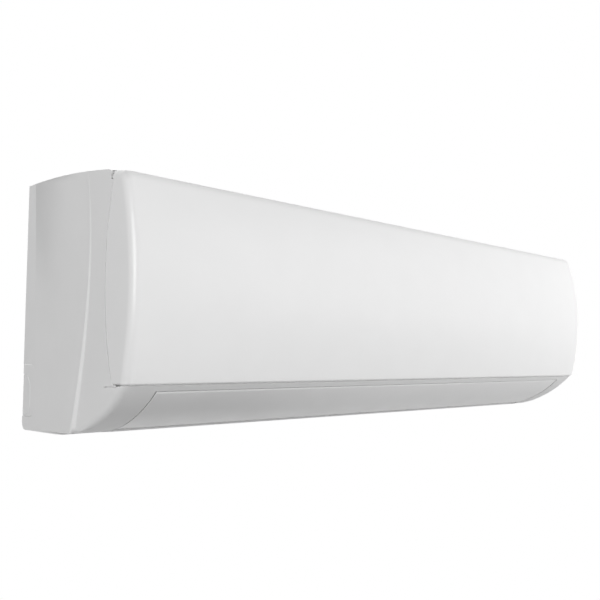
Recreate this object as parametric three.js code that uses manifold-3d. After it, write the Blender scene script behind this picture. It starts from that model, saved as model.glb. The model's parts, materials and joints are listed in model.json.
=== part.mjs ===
// Wall-mounted mini split indoor unit, in millimetres, +Z up.
// +X is to the viewer's right, the front faces -Y, and the wall is the plane y = 0.
// The origin is the centre of the mounting plate's wall face, at mid height.
import * as THREE from 'three';
import { mergeVertices } from 'three/addons/utils/BufferGeometryUtils.js';
import Module from 'manifold-3d';

const wasm = await Module();
wasm.setup();

// ---------------------------------------------------------------- driving dimensions

// Fits
const GAP = 0.3; // between faces that touch
const RUN = 0.35; // radial clearance of a pin in its hole
const PASS = 1; // between a moving part and what it swings past
const BREAK = 1; // how far a cutting tool stands past the wall it cuts

// Outer form, in section
const WIDTH = 970;
const HEIGHT = 300;
const DEPTH = 247; // wall to the proudest line of the front panel
const WALL_REVEAL = 1; // case edge to the wall
const TOP_RADIUS = 1240; // arched top, level at the wall
const TOP_CORNER_RADIUS = 16;
const FRONT_RADIUS = 387; // bulged front panel
const FRONT_CREST = 0.55; // height of the proudest line, as a share of the height
const CHIN_HEIGHT = 57; // bottom to the panel's lower edge
const CHIN_RADIUS = 190;
const CHIN_SETBACK = 154; // proudest line to where the chin runs level into the bottom
const REAR_CORNER_RADIUS = 9;
const EDGE_RADIUS = 10; // rounding between the ends and the front
const EDGE_START = 0.6; // that rounding at the crease
const CASE_WALL = 2.5;

// Ends: a crease from top to bottom, ahead of which the end steps inwards
const CREASE_TOP_SETBACK = 97; // proudest line to the crease at the top
const CREASE_FOOT_SETBACK = 124; // and at the bottom
const CREASE_BOW_SETBACK = 71; // and to the curve's control point
const CREASE_BOW_HEIGHT = 0.6; // height of the control point, as a share of the height
const STEP_DEPTH = 3.6; // step at the bottom, fading to the top
const END_TAPER = 8; // how far the chin's ends draw in

// Front panel
const PANEL_WALL = 2.8;
const PANEL_FOOT_RADIUS = 3.6; // rounded lower edge
const SEAM_RADIUS = 394; // rear edge of the panel's side return
const SEAM_SETBACK = 10.4; // front frame to its rearmost point
const SEAM_GAP = 1;
const HINGE_SETBACK = 11.4; // centre of the top corner to the hinge line
const HINGE_BEAD = 3.8; // radius of the rolled top edge
const HINGE_PIN = 2.2;
const HINGE_INSET = 16; // case end to the middle of the hinge ear
const EAR_WIDTH = 5;
const EAR_RADIUS = 5.2;
const EAR_PLAY = 1.2; // between an ear and the sides of its notch
const PANEL_RIB = 1.6;
const PANEL_RIB_HEIGHT = 5;
const PANEL_RIB_INSET = 30;
const FOOT_RETURN = 32; // proudest line to the back of the panel's lower return
const LATCH_WIDTH = 18;
const PANEL_RIB_COUNT = 4;

// Front frame behind the panel
const FRAME_SETBACK = 3; // hinge line to the frame's face
const FRAME_WALL = 2.5;
const FRAME_BAR = 6;
const WINDOW_MARGIN = 12;
const SHELF = 2.5;
const GRID_SHARES = [0.25, 0.52, 0.79]; // heights of the windows' cross bars
const GRID_BAR = 4;
const LATCH_PLACE = 0.32; // latches from the middle, as a share of the width

// Intake grille in the top
const GRILLE_ROWS = 8;
const GRILLE_COLUMNS = 6;
const GRILLE_BAR = 5;
const GRILLE_INSET = 45; // case end to the grille

// Air duct
const DUCT_LEFT_INSET = 44; // case end to the duct
const DUCT_RIGHT_INSET = 127;
const HOUSING_WALL = 3;
const FLOOR_ANGLE = 35; // degrees
const LIP_SETBACK = 115; // proudest line to the front face of the lower outlet lip
const LIP_HEIGHT = 7.5; // top of the lip above the bottom
const FLOOR_START_HEIGHT = 8.7;
const FLAP_INSET = 48.5; // case end to the flap
const FLAP_END_GAP = 1.5;

// Fan
const FAN_SETBACK = 141; // proudest line to the fan's axis
const FAN_HEIGHT = 114;
const FAN_RADIUS = 50;
const FAN_BORE = 38;
const FAN_BLADES = 16;
const FAN_SECTIONS = 3;
const FAN_DISC = 2.4;
const FAN_LEFT_GAP = 9; // duct end to the wheel
const FAN_RIGHT_GAP = 8;
const SHAFT_RADIUS = 4;
const BEARING_RADIUS = 14;
const BLADE_WALL = 1.3;
const BLADE_SWEEP = 0.32; // turn of a blade from its inner to its outer edge, radians
const HUB_RADIUS = 12;
const HUB_LENGTH = 6;
const TONGUE_RADIUS = 56; // fan centre to the nose of the duct's upper wall
const TONGUE_TURN = 0.12; // nose above the floor's slope, radians
const SCROLL_START = 54; // scroll radius at the rear nose
const SCROLL_START_ANGLE = 20; // degrees above level

// Motor
const MOTOR_RADIUS = 40;
const MOTOR_LENGTH = 38;
const MOTOR_RING = 18;
const MOTOR_RING_WIDTH = 7;
const CLAMP_WALL = 5;
const RING_BORE = 12;
const SHAFT_REACH = 12; // length of the shaft inside the motor

// Outlet flap
const FLAP_TOP_SETBACK = 26.5; // proudest line to the flap's upper edge
const FLAP_FOOT_SETBACK = 108.5; // and to its lower edge
const FLAP_SEAM = 1;
const FLAP_THICKNESS = 7;
const FLAP_EDGE = 1.6;
const FLAP_PIVOT_SETBACK = 95; // proudest line to the hinge
const FLAP_PIVOT_RISE = 12.6; // hinge above the chin's skin
const FLAP_PIN = 3;
const FLAP_ARM = 3;
const FLAP_ARM_RADIUS = 6;
const FLAP_ARM_FRONT = 16; // foot of the arm ahead of the hinge
const FLAP_ARM_REAR = 11; // and behind it

// Vertical vanes
const VANE_COUNT = 10;
const VANE_WALL = 1.6;
const VANE_HEIGHT = 60;
const VANE_FRONT = 16; // behind the floor's front edge
const VANE_PIVOT = 34;
const VANE_REAR = 56;
const VANE_PIN = 2.5;
const VANE_PIN_LENGTH = 5.5;
const VANE_FOOT = 6;
const STEPPER_RADIUS = 14;
const STEPPER_LENGTH = 19;
const STEPPER_OFFSET = 8;
const CRANK = 15; // pivot to link pin
const CRANK_PIN = 1.6;
const LINK_WIDTH = 7;
const LINK_THICKNESS = 3;
const LINK_HEIGHT = 4; // above the floor
const LINK_CUT = 9; // clear height of the blade above the link
const LINK_REACH = 42; // where the blade is cut away over the link

// Evaporator
const COIL_THICKNESS = 26;
const COIL_LEFT_GAP = 13; // duct end to the fins
const COIL_RIGHT_GAP = 18;
const COIL_FRONT_GAP = 6.5; // front frame to the fins
const COIL_FOOT = 22; // lower slab's foot below the fan's axis
const COIL_LOWER_HEAD = 74; // lower slab's head above the axis
const COIL_UPPER_FOOT = 86; // upper slab's foot above the axis
const COIL_UPPER_SETBACK = 5; // and behind the lower slab
const COIL_UPPER_REACH = 64.6; // upper slab's head behind the lower slab
const COIL_UPPER_INSET = 30; // and below the top of the unit
const COIL_REAR_START = 12; // rear slab's head behind the axis
const COIL_REAR_INSET = 32; // and below the top of the unit
const COIL_REAR_GAP = 26.2; // back wall to the middle of the rear slab's foot
const COIL_REAR_FOOT = 73; // rear slab's foot above the fan's axis
const COIL_END_WALL = 1.5;
const TUBE_RADIUS = 3.5;
const BEND_REACH = 6;
const COIL_SUPPORTS = 3;

// Drain tray
const SPOUT_RADIUS = 7;
const SPOUT_BORE = 5;
const SPOUT_LENGTH = 15;

// Mounting plate
const PLATE_WIDTH = 600;
const PLATE_TOP_INSET = 20; // below the top of the unit
const PLATE_FOOT = 92; // above the bottom of the unit
const PLATE_SHEET = 1.2;
const PLATE_RIB = 4; // depth of the pressed ribs
const PLATE_RIB_WIDTH = 10;
const PLATE_INSET = 20; // plate's end to the ribs
const PLATE_WINDOW = 80;
const PLATE_FLANGE = 7;
const PLATE_HOLE = 2.6;
const HOOK_SPACING = 400;
const HOOK_WIDTH = 26;
const HOOK_PLAY = 1.8; // back wall to the hook's upturned lip
const HOOK_LIP = 5.5;
const HOOK_DROP = 13; // plate's top to the hooks
const BACK_DEPTH = 10; // wall to the rear housing's back wall
const BACK_WALL = 2.5;

// Rear pipe channel and its knock-outs
const CHANNEL_HEIGHT = 80; // top of the channel above the bottom
const KNOCKOUT_DEPTH = 34.5;
const KNOCKOUT_FOOT = 16.6;
const KNOCKOUT_HEAD = 78;
const KNOCKOUT_CORNER = 12;
const KNOCKOUT_INNER_DEPTH = 21;
const KNOCKOUT_INNER_HEAD = 66.7;
const KNOCKOUT_WALL = 2.2;
const GAS_RADIUS = 6.35;
const LIQUID_RADIUS = 3.2;
const PIPE_DEPTH = 24;
const GAS_HEIGHT = 32;
const LIQUID_HEIGHT = 56;
const PIPE_END = -80;
const PIPE_DROP = 30; // depth of the upright runs
const GAS_OFFSET = 28; // duct end to the gas pipe's upright run
const LIQUID_OFFSET = 11;
const PIPE_PLAY = 0.8; // round a pipe where it goes through the housing
const CLAMP_LEFT = 110;
const CLAMP_WIDTH = 50;

// Filters
const FILTER_WALL = 2.2;
const FILTER_NET = 0.6;
const FILTER_BEND = 45;
const FILTER_REAR = 52; // depth at which the filter ends under the grille
const FILTER_CLEAR = 3;
const FILTER_BAR = 5;
const FILTER_ROWS = 4;
const FILTER_TAB = 44; // width of the pull tab

// Control box
const BOX_WIDTH = 95;
const BOX_INSET = 22; // case end to the box
const BOX_MOTOR_GAP = 2; // box to the motor's bed behind it
const BOX_WALL = 2;
const BOX_FOOT = 66; // above the bottom of the unit
const BOX_HEAD_INSET = 42; // below the top of the unit
const BOARD_WALL = 1.6;
const POST_LENGTH = 6;
const TERMINALS = 4;

// Screws and button
const SCREW_RADIUS = 1.75;
const SCREW_HEAD = 3.6;
const SCREW_SINK = 2.2; // depth of the countersink
const SCREW_LENGTH = 12;
const CROSS_REACH = 2; // half the length of the cross recess
const CROSS_WIDTH = 0.8;
const SCREW_SETBACK = 142; // proudest line to the screws
const BOSS_RADIUS = 4.6;
const BUTTON_RADIUS = 3;
const BUTTON_COLLAR = 1.2;
const BUTTON_STAND = 3; // cap proud of the frame

// ---------------------------------------------------------------- derived places

const TOP = HEIGHT / 2;
const BOTTOM = -HEIGHT / 2;
const HALF = WIDTH / 2;
const PANEL_FOOT = BOTTOM + CHIN_HEIGHT;
const CHIN_TOP = PANEL_FOOT - SEAM_GAP;
const TOP_CENTRE = { y: 0, z: TOP - TOP_RADIUS };
const FRONT_CENTRE = { y: FRONT_RADIUS - DEPTH, z: BOTTOM + FRONT_CREST * HEIGHT };
const topSkin = (depth) => TOP_CENTRE.z + Math.sqrt(TOP_RADIUS ** 2 - depth ** 2);
const CORNER = topCornerCentre();
const PANEL_TOP_DEPTH = -CORNER.y - HINGE_SETBACK;
const HINGE = { y: -PANEL_TOP_DEPTH, z: topSkin(PANEL_TOP_DEPTH) - HINGE_BEAD };
const FRAME_DEPTH = PANEL_TOP_DEPTH - FRAME_SETBACK;
const SEAM_DEPTH = FRAME_DEPTH - SEAM_SETBACK;
const CHIN_TANGENT = DEPTH - CHIN_SETBACK;
const CHIN_CENTRE = { y: -CHIN_TANGENT, z: BOTTOM + CHIN_RADIUS };
const chinSkin = (depth) => CHIN_CENTRE.z - Math.sqrt(CHIN_RADIUS ** 2 - (depth - CHIN_TANGENT) ** 2);
const CREASE_TOP = DEPTH - CREASE_TOP_SETBACK;
const CREASE_FOOT = DEPTH - CREASE_FOOT_SETBACK;
const CREASE_BOW = { y: CREASE_BOW_SETBACK - DEPTH, z: BOTTOM + CREASE_BOW_HEIGHT * HEIGHT };
const DUCT_LEFT = DUCT_LEFT_INSET - HALF;
const DUCT_RIGHT = HALF - DUCT_RIGHT_INSET;
const FAN = { y: FAN_SETBACK - DEPTH, z: BOTTOM + FAN_HEIGHT };
const FAN_LEFT = DUCT_LEFT + FAN_LEFT_GAP;
const FAN_RIGHT = DUCT_RIGHT - FAN_RIGHT_GAP;
const COIL_LEFT = DUCT_LEFT + COIL_LEFT_GAP;
const COIL_RIGHT = DUCT_RIGHT - COIL_RIGHT_GAP;
const BOX_RIGHT = HALF - BOX_INSET;
const BOX_LEFT = BOX_RIGHT - BOX_WIDTH;
const FLAP_PIVOT_DEPTH = DEPTH - FLAP_PIVOT_SETBACK;
const FLAP_TOP_DEPTH = DEPTH - FLAP_TOP_SETBACK;
const FLAP_FOOT_DEPTH = DEPTH - FLAP_FOOT_SETBACK;
const FLAP_HALF = HALF - FLAP_INSET;
const FLAP_OPENING = FLAP_HALF + FLAP_END_GAP;
const PIVOT = { y: -FLAP_PIVOT_DEPTH, z: chinSkin(FLAP_PIVOT_DEPTH) + FLAP_PIVOT_RISE };
const LIP_DEPTH = DEPTH - LIP_SETBACK;
const SCREW_DEPTH = DEPTH - SCREW_SETBACK;
const FLOOR = THREE.MathUtils.degToRad(FLOOR_ANGLE);
const FLOOR_START = { y: CASE_WALL + GAP - LIP_DEPTH, z: BOTTOM + FLOOR_START_HEIGHT };
const CHANNEL_TOP = BOTTOM + CHANNEL_HEIGHT;
const DUCT_WIDTH = DUCT_RIGHT - DUCT_LEFT;
const VANE_PITCH = DUCT_WIDTH / VANE_COUNT;
const SCREW_FOOT = chinSkin(SCREW_DEPTH) + 0.2;
const BUTTON = { x: (DUCT_RIGHT + BOX_LEFT) / 2, z: PANEL_FOOT + 12 };

// ---------------------------------------------------------------- finishes

const finish = (color, roughness, metalness = 0) =>
  new THREE.MeshStandardMaterial({ color, roughness, metalness, flatShading: true });

const WHITE_ABS = finish(0xf2f3f3, 0.35);
const WHITE_PANEL = finish(0xf6f7f7, 0.25);
const HOUSING_PS = finish(0xdedfdc, 0.6);
const BLACK_FAN = finish(0x3a3d40, 0.55);
const GREY_VANE = finish(0xd3d5d5, 0.5);
const RUBBER = finish(0x232323, 0.9);
const ZINC = finish(0xb9bdc0, 0.4, 0.9);
const STEEL = finish(0xc9ccce, 0.3, 1);
const ALUMINIUM = finish(0xc4c9cc, 0.45, 0.9);
const COPPER = finish(0xc27a4c, 0.35, 1);
const BRASS = finish(0xc8a95a, 0.3, 1);
const FILTER_PP = finish(0x9fb4bf, 0.7);
const BOARD_GREEN = finish(0x2f6b46, 0.5);
const TERMINAL = finish(0xe9e6dc, 0.5);

// ---------------------------------------------------------------- solid helpers

const point = (y, z) => new THREE.Vector2(y, z);

/** A closed three.js geometry as a solid that can be joined and cut. */
function solid(geometry) {
  const bare = geometry.clone();
  bare.deleteAttribute('normal');
  bare.deleteAttribute('uv');
  const merged = mergeVertices(bare, 1e-4);
  const index = merged.index.array;
  const triangles = [];
  for (let i = 0; i < index.length; i += 3) {
    const [a, b, c] = [index[i], index[i + 1], index[i + 2]];
    if (a !== b && b !== c && c !== a) triangles.push(a, b, c);
  }
  return new wasm.Manifold(new wasm.Mesh({
    numProp: 3,
    vertProperties: new Float32Array(merged.attributes.position.array),
    triVerts: new Uint32Array(triangles),
  }));
}

/** A solid back as a three.js geometry. */
function geometryOf(body) {
  const mesh = body.getMesh();
  const geometry = new THREE.BufferGeometry();
  geometry.setAttribute('position', new THREE.BufferAttribute(new Float32Array(mesh.vertProperties), 3));
  geometry.setIndex(new THREE.BufferAttribute(new Uint32Array(mesh.triVerts), 1));
  geometry.computeVertexNormals();
  return geometry;
}

const join = (...bodies) => bodies.reduce((whole, body) => whole.add(body));
const cut = (body, ...tools) => tools.reduce((rest, tool) => rest.subtract(tool), body);

/** An outline carried along the third axis of a basis, with holes right through it. */
function prism(outline, length, basis, offset, holes = []) {
  const extruded = (points, depth, start) => {
    const geometry = new THREE.ExtrudeGeometry(new THREE.Shape(points), { depth, bevelEnabled: false });
    return solid(geometry.translate(0, 0, start).applyMatrix4(basis));
  };
  const tools = holes.map((hole) => extruded(hole, length + 2 * BREAK, offset - BREAK));
  return cut(extruded(outline, length, offset), ...tools);
}

const ALONG_X = new THREE.Vector3(1, 0, 0);
const ALONG_Y = new THREE.Vector3(0, 1, 0);
const ALONG_Z = new THREE.Vector3(0, 0, 1);
const FROM_YZ = new THREE.Matrix4().makeBasis(ALONG_Y, ALONG_Z, ALONG_X);
const FROM_XZ = new THREE.Matrix4().makeBasis(ALONG_X, ALONG_Z, ALONG_Y.clone().negate());
const FROM_XY = new THREE.Matrix4();

/** An outline in (y, z) carried along X from one place to another. */
const alongX = (outline, from, to, holes) => prism(outline, to - from, FROM_YZ, from, holes);
/** An outline in (x, z) carried along Y. */
const alongY = (outline, from, to, holes) => prism(outline, to - from, FROM_XZ, -to, holes);
/** An outline in (x, y) carried along Z. */
const alongZ = (outline, from, to, holes) => prism(outline, to - from, FROM_XY, from, holes);

/** A box between two places on each axis. */
function block(x0, x1, y0, y1, z0, z1) {
  const geometry = new THREE.BoxGeometry(x1 - x0, y1 - y0, z1 - z0);
  return solid(geometry.translate((x0 + x1) / 2, (y0 + y1) / 2, (z0 + z1) / 2));
}

/** A round bar along X, about (y, z). */
function rodX(centre, radius, from, to, sides = 16) {
  const geometry = new THREE.CylinderGeometry(radius, radius, to - from, sides);
  geometry.rotateZ(-Math.PI / 2);
  return solid(geometry.translate((from + to) / 2, centre.y, centre.z));
}

/** A round bar along Y, about (x, z). */
function rodY(x, z, radius, from, to, sides = 16) {
  const geometry = new THREE.CylinderGeometry(radius, radius, to - from, sides);
  return solid(geometry.translate(x, (from + to) / 2, z));
}

/** A round bar along Z, about (x, y). */
function rodZ(x, y, radius, from, to, sides = 16) {
  const geometry = new THREE.CylinderGeometry(radius, radius, to - from, sides);
  geometry.rotateX(Math.PI / 2);
  return solid(geometry.translate(x, y, (from + to) / 2));
}

/** Evenly spaced points on an arc, both ends included. */
function arc(centre, radius, from, to, steps) {
  return Array.from({ length: steps + 1 }, (_, i) => {
    const angle = from + ((to - from) * i) / steps;
    return point(centre.y + radius * Math.cos(angle), centre.z + radius * Math.sin(angle));
  });
}

/** The whole circle as a polygon. */
const circle = (centre, radius, sides) => arc(centre, radius, 0, 2 * Math.PI, sides).slice(1);

/** The outline of a sheet of one thickness whose left-hand face follows a path. */
function sheet(path, thickness) {
  const other = path.map((here, i) => {
    const before = path[Math.max(i - 1, 0)];
    const after = path[Math.min(i + 1, path.length - 1)];
    const into = i > 0 ? here.clone().sub(before).normalize() : after.clone().sub(here).normalize();
    const out = i < path.length - 1 ? after.clone().sub(here).normalize() : into.clone();
    const tangent = into.clone().add(out).normalize();
    const normal = point(tangent.y, -tangent.x);
    const spread = thickness / Math.max(normal.dot(point(into.y, -into.x)), 0.4);
    return here.clone().addScaledVector(normal, spread);
  });
  return [...path, ...other.reverse()];
}

/** A rectangle with round corners, in the plane of an outline. */
function roundedRectangle(x0, x1, y0, y1, radius, steps = 3) {
  const corners = [[x1 - radius, y1 - radius, 0], [x0 + radius, y1 - radius, 1],
    [x0 + radius, y0 + radius, 2], [x1 - radius, y0 + radius, 3]];
  return corners.flatMap(([cx, cy, quarter]) => {
    const from = (quarter * Math.PI) / 2;
    return arc({ y: cx, z: cy }, radius, from, from + Math.PI / 2, steps);
  });
}

/** A closed round bar through a list of points, its ends square to its run. */
function tube(path, radius, sides) {
  const tangents = path.map((here, i) => {
    const after = path[Math.min(i + 1, path.length - 1)];
    return after.clone().sub(path[Math.max(i - 1, 0)]).normalize();
  });
  let normal = new THREE.Vector3(0.3, 0.5, 0.8).cross(tangents[0]).normalize();
  const rings = path.map((here, i) => {
    normal = normal.clone().addScaledVector(tangents[i], -normal.dot(tangents[i])).normalize();
    const binormal = tangents[i].clone().cross(normal);
    return Array.from({ length: sides }, (_, k) => {
      const angle = (2 * Math.PI * k) / sides;
      return here.clone().addScaledVector(normal, radius * Math.cos(angle))
        .addScaledVector(binormal, radius * Math.sin(angle));
    });
  });
  const points = [];
  for (let k = 0; k < sides; k += 1) {
    const next = (k + 1) % sides;
    points.push(path[0], rings[0][next], rings[0][k]);
    points.push(path[path.length - 1], rings[rings.length - 1][k], rings[rings.length - 1][next]);
    for (let i = 0; i < rings.length - 1; i += 1) {
      points.push(rings[i][k], rings[i][next], rings[i + 1][next]);
      points.push(rings[i][k], rings[i + 1][next], rings[i + 1][k]);
    }
  }
  return solid(new THREE.BufferGeometry().setFromPoints(points));
}

/** A route through corner points with each corner rounded. */
function rounded(corners, radius) {
  const path = [corners[0]];
  for (let i = 1; i < corners.length - 1; i += 1) {
    const [before, here, after] = corners.slice(i - 1, i + 2);
    const start = here.clone().addScaledVector(before.clone().sub(here).normalize(), radius);
    const end = here.clone().addScaledVector(after.clone().sub(here).normalize(), radius);
    path.push(...new THREE.QuadraticBezierCurve3(start, here, end).getPoints(3));
  }
  path.push(corners[corners.length - 1]);
  return path;
}

const unit = new THREE.Group();

/** Adds a named mesh to the unit, at a place and tilted about X where one is given. */
function piece(name, body, material, place = {}) {
  const geometry = body instanceof THREE.BufferGeometry ? body : geometryOf(body);
  const mesh = new THREE.Mesh(geometry, material);
  mesh.name = name;
  mesh.position.set(place.x ?? 0, place.y ?? 0, place.z ?? 0);
  mesh.rotation.x = place.tilt ?? 0;
  unit.add(mesh);
  return mesh;
}

// ---------------------------------------------------------------- the outer form

/** A place on an arc of the section, which gives its point for any inset from the skin. */
const onArc = (centre, radius, angle) => ({
  at: (inset) => arc(centre, radius - inset, angle, angle, 1)[0],
});

const arcPlaces = (centre, radius, from, to, steps) =>
  Array.from({ length: steps + 1 }, (_, i) => onArc(centre, radius, from + ((to - from) * i) / steps));

/** Centre of the round top front corner, tangent to the top and the front. */
function topCornerCentre() {
  const a = TOP_RADIUS - TOP_CORNER_RADIUS;
  const b = FRONT_RADIUS - TOP_CORNER_RADIUS;
  const dy = FRONT_CENTRE.y - TOP_CENTRE.y;
  const dz = FRONT_CENTRE.z - TOP_CENTRE.z;
  const d = Math.hypot(dy, dz);
  const u = (a * a - b * b + d * d) / (2 * d);
  const v = Math.sqrt(a * a - u * u);
  return { y: TOP_CENTRE.y + (u * dy - v * dz) / d, z: TOP_CENTRE.z + (u * dz + v * dy) / d };
}

const angleFrom = (centre, other) => Math.atan2(other.z - centre.z, other.y - centre.y);
const topAngle = (depth) => Math.PI / 2 + Math.asin(depth / TOP_RADIUS);
const chinAngle = (depth) => 1.5 * Math.PI - Math.asin((depth - CHIN_TANGENT) / CHIN_RADIUS);

/** Centre of the rounding along the panel's lower edge. */
function panelFootCentre() {
  const z = PANEL_FOOT + PANEL_FOOT_RADIUS;
  const reach = FRONT_RADIUS - PANEL_FOOT_RADIUS;
  return { y: FRONT_CENTRE.y - Math.sqrt(reach ** 2 - (z - FRONT_CENTRE.z) ** 2), z };
}

/** A small rounding whose centre moves inwards with an inset larger than its radius. */
function tightCorner(centre, radius, from, to, steps) {
  const inwards = point(-Math.cos(from) - Math.cos(to), -Math.sin(from) - Math.sin(to));
  const mitre = inwards.divideScalar(1 + Math.cos(to - from));
  return Array.from({ length: steps + 1 }, (_, i) => {
    const angle = from + ((to - from) * i) / steps;
    return {
      at: (inset) => {
        const left = Math.max(radius - inset, 0.2);
        const shift = Math.max(inset - radius + 0.2, 0);
        return point(centre.y + shift * mitre.x + left * Math.cos(angle),
          centre.z + shift * mitre.y + left * Math.sin(angle));
      },
    };
  });
}

/** The section's outline ahead of the crease, from the top round the front to the bottom. */
function frontRun() {
  const cornerTop = angleFrom(TOP_CENTRE, CORNER);
  const cornerFront = angleFrom(FRONT_CENTRE, CORNER);
  const footCentre = panelFootCentre();
  const footStart = angleFrom(FRONT_CENTRE, footCentre) + 2 * Math.PI;
  const chinStart = Math.PI + Math.asin((CHIN_CENTRE.z - CHIN_TOP) / CHIN_RADIUS);
  const crease = topAngle(CREASE_TOP + 1);
  const foot = chinAngle(CREASE_FOOT + STEP_DEPTH);
  return [
    ...arcPlaces(TOP_CENTRE, TOP_RADIUS, crease, cornerTop, 3),
    ...arcPlaces(CORNER, TOP_CORNER_RADIUS, cornerTop, cornerFront, 3).slice(1),
    ...arcPlaces(FRONT_CENTRE, FRONT_RADIUS, cornerFront, footStart, 7).slice(1),
    ...tightCorner(footCentre, PANEL_FOOT_RADIUS, footStart, 1.5 * Math.PI, 2).slice(1),
    ...arcPlaces(CHIN_CENTRE, CHIN_RADIUS, chinStart, foot, 6),
  ];
}

/** The outline behind the crease, from the bottom round the wall side to the top. */
function rearRun() {
  const corner = { y: -WALL_REVEAL - REAR_CORNER_RADIUS, z: BOTTOM + REAR_CORNER_RADIUS };
  const rearTop = { at: (inset) => point(-WALL_REVEAL - inset, topSkin(WALL_REVEAL) - inset) };
  return [
    ...arcPlaces(CHIN_CENTRE, CHIN_RADIUS, chinAngle(CREASE_FOOT), 1.5 * Math.PI, 2),
    ...arcPlaces(corner, REAR_CORNER_RADIUS, 1.5 * Math.PI, 2 * Math.PI, 3),
    rearTop,
    ...arcPlaces(TOP_CENTRE, TOP_RADIUS, topAngle(WALL_REVEAL), topAngle(CREASE_TOP), GRILLE_ROWS).slice(1),
  ];
}

const smooth = (t) => {
  const u = THREE.MathUtils.clamp(t, 0, 1);
  return u * u * (3 - 2 * u);
};

/** The crease on the end, from top to bottom. */
function creaseCurve(top, foot) {
  return new THREE.QuadraticBezierCurve(top, point(CREASE_BOW.y, CREASE_BOW.z), foot);
}

const stepAt = (t) => 0.3 + (STEP_DEPTH - 0.3) * t ** 1.6;

/**
 * The whole outer form as one solid, drawn in by an inset on every side.
 * Its ends are flat behind the crease, step in ahead of it, and round over into the front.
 */
function outerForm(inset) {
  const run = frontRun();
  const rear = rearRun().map((place) => place.at(inset));
  const last = run.length - 1;
  const side = HALF - inset;
  const crease = creaseCurve(rear[rear.length - 1], rear[0]);
  const rows = run.map((place, i) => endRow(place, crease.getPoint(i / last), i / last, side, inset));
  const corner = ([x, place]) => new THREE.Vector3(x, place.x, place.y);
  const grid = rows.map((row) => row.map(corner));
  const points = [];
  const mirrored = (v) => new THREE.Vector3(-v.x, v.y, v.z);
  const face = (a, b, c) => points.push(a, b, c, mirrored(a), mirrored(c), mirrored(b));
  for (let i = 0; i < last; i += 1) {
    for (let j = 0; j < grid[i].length - 1; j += 1) {
      face(grid[i][j], grid[i][j + 1], grid[i + 1][j + 1]);
      face(grid[i][j], grid[i + 1][j + 1], grid[i + 1][j]);
    }
  }
  const rim = grid[0].length - 1;
  for (let j = 0; j < rim - 1; j += 1) {
    face(grid[0][rim], grid[0][j + 1], grid[0][j]);
    face(grid[last][rim], grid[last][j], grid[last][j + 1]);
  }
  const flat = [...rear, ...rows.slice(1, last).map((row) => row[0][1])];
  for (const triple of THREE.ShapeUtils.triangulateShape(flat, [])) {
    face(...triple.map((k) => corner([side, flat[k]])));
  }
  const loop = [...grid.map((row) => row[row.length - 1]), ...rear.map((place) => corner([side, place]))];
  loop.forEach((right, i) => {
    const next = loop[(i + 1) % loop.length];
    points.push(right, mirrored(right), mirrored(next), right, mirrored(next), next);
  });
  return solid(new THREE.BufferGeometry().setFromPoints(points));
}

/** One row of an end, from the crease to the rounded front edge, as [x, (y, z)] pairs. */
function endRow(place, back, t, side, inset) {
  const fullness = smooth(t / 0.15) * smooth((1 - t) / 0.12);
  const radius = Math.max(EDGE_START + (EDGE_RADIUS - EDGE_START) * fullness - inset, 0.05);
  const drawIn = THREE.MathUtils.clamp((PANEL_FOOT + 20 - place.at(0).y) / (CHIN_HEIGHT + 20), 0, 1);
  const taper = END_TAPER * drawIn ** 1.5;
  const step = stepAt(t);
  const rim = place.at(inset + radius);
  const atEnd = t === 0 || t === 1;
  const stepFoot = atEnd ? back.clone().lerp(rim, 0.3) : back.clone().add(point(-0.8 - step, 0));
  const row = [[side, back]];
  for (const f of [0, 0.6, 1]) {
    row.push([side - step - taper * f * f, stepFoot.clone().lerp(rim, f)]);
  }
  for (const angle of [Math.PI / 4, Math.PI / 2]) {
    const drop = radius * (1 - Math.cos(angle));
    row.push([side - step - taper - drop, place.at(inset + radius * (1 - Math.sin(angle)))]);
  }
  return row;
}

// ---------------------------------------------------------------- front panel

/** The part of the section that belongs to the panel, widened by a gap where the case is cut for it. */
function panelRegion(gap) {
  const centre = { y: -SEAM_DEPTH - SEAM_RADIUS, z: FRONT_CENTRE.z };
  const radius = SEAM_RADIUS + gap;
  const foot = PANEL_FOOT - gap;
  const beadFoot = HINGE.z - HINGE_BEAD - gap;
  const rear = gap > 0 ? HINGE.y + HINGE_BEAD + gap : HINGE.y;
  const low = Math.asin((foot - centre.z) / radius);
  const high = Math.asin((beadFoot - 3 - centre.z) / radius);
  return [
    point(-DEPTH - 50, foot), ...arc(centre, radius, low, high, 10),
    point(rear, beadFoot), point(rear, TOP + 50), point(-DEPTH - 50, TOP + 50),
  ];
}

/** Stiffening ribs down the inside of the panel. */
function panelRibs(region) {
  const zone = outerForm(PANEL_WALL - 0.1).subtract(outerForm(PANEL_WALL + PANEL_RIB_HEIGHT));
  const pitch = (WIDTH - 2 * PANEL_RIB_INSET) / (PANEL_RIB_COUNT + 1);
  const ribs = Array.from({ length: PANEL_RIB_COUNT }, (_, i) => {
    const x = PANEL_RIB_INSET - HALF + (i + 1) * pitch;
    return block(x - PANEL_RIB / 2, x + PANEL_RIB / 2, -DEPTH, HINGE.y - 2 * HINGE_BEAD, BOTTOM,
      HINGE.z - 3 * HINGE_BEAD);
  });
  return zone.intersect(region).intersect(join(...ribs));
}

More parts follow.
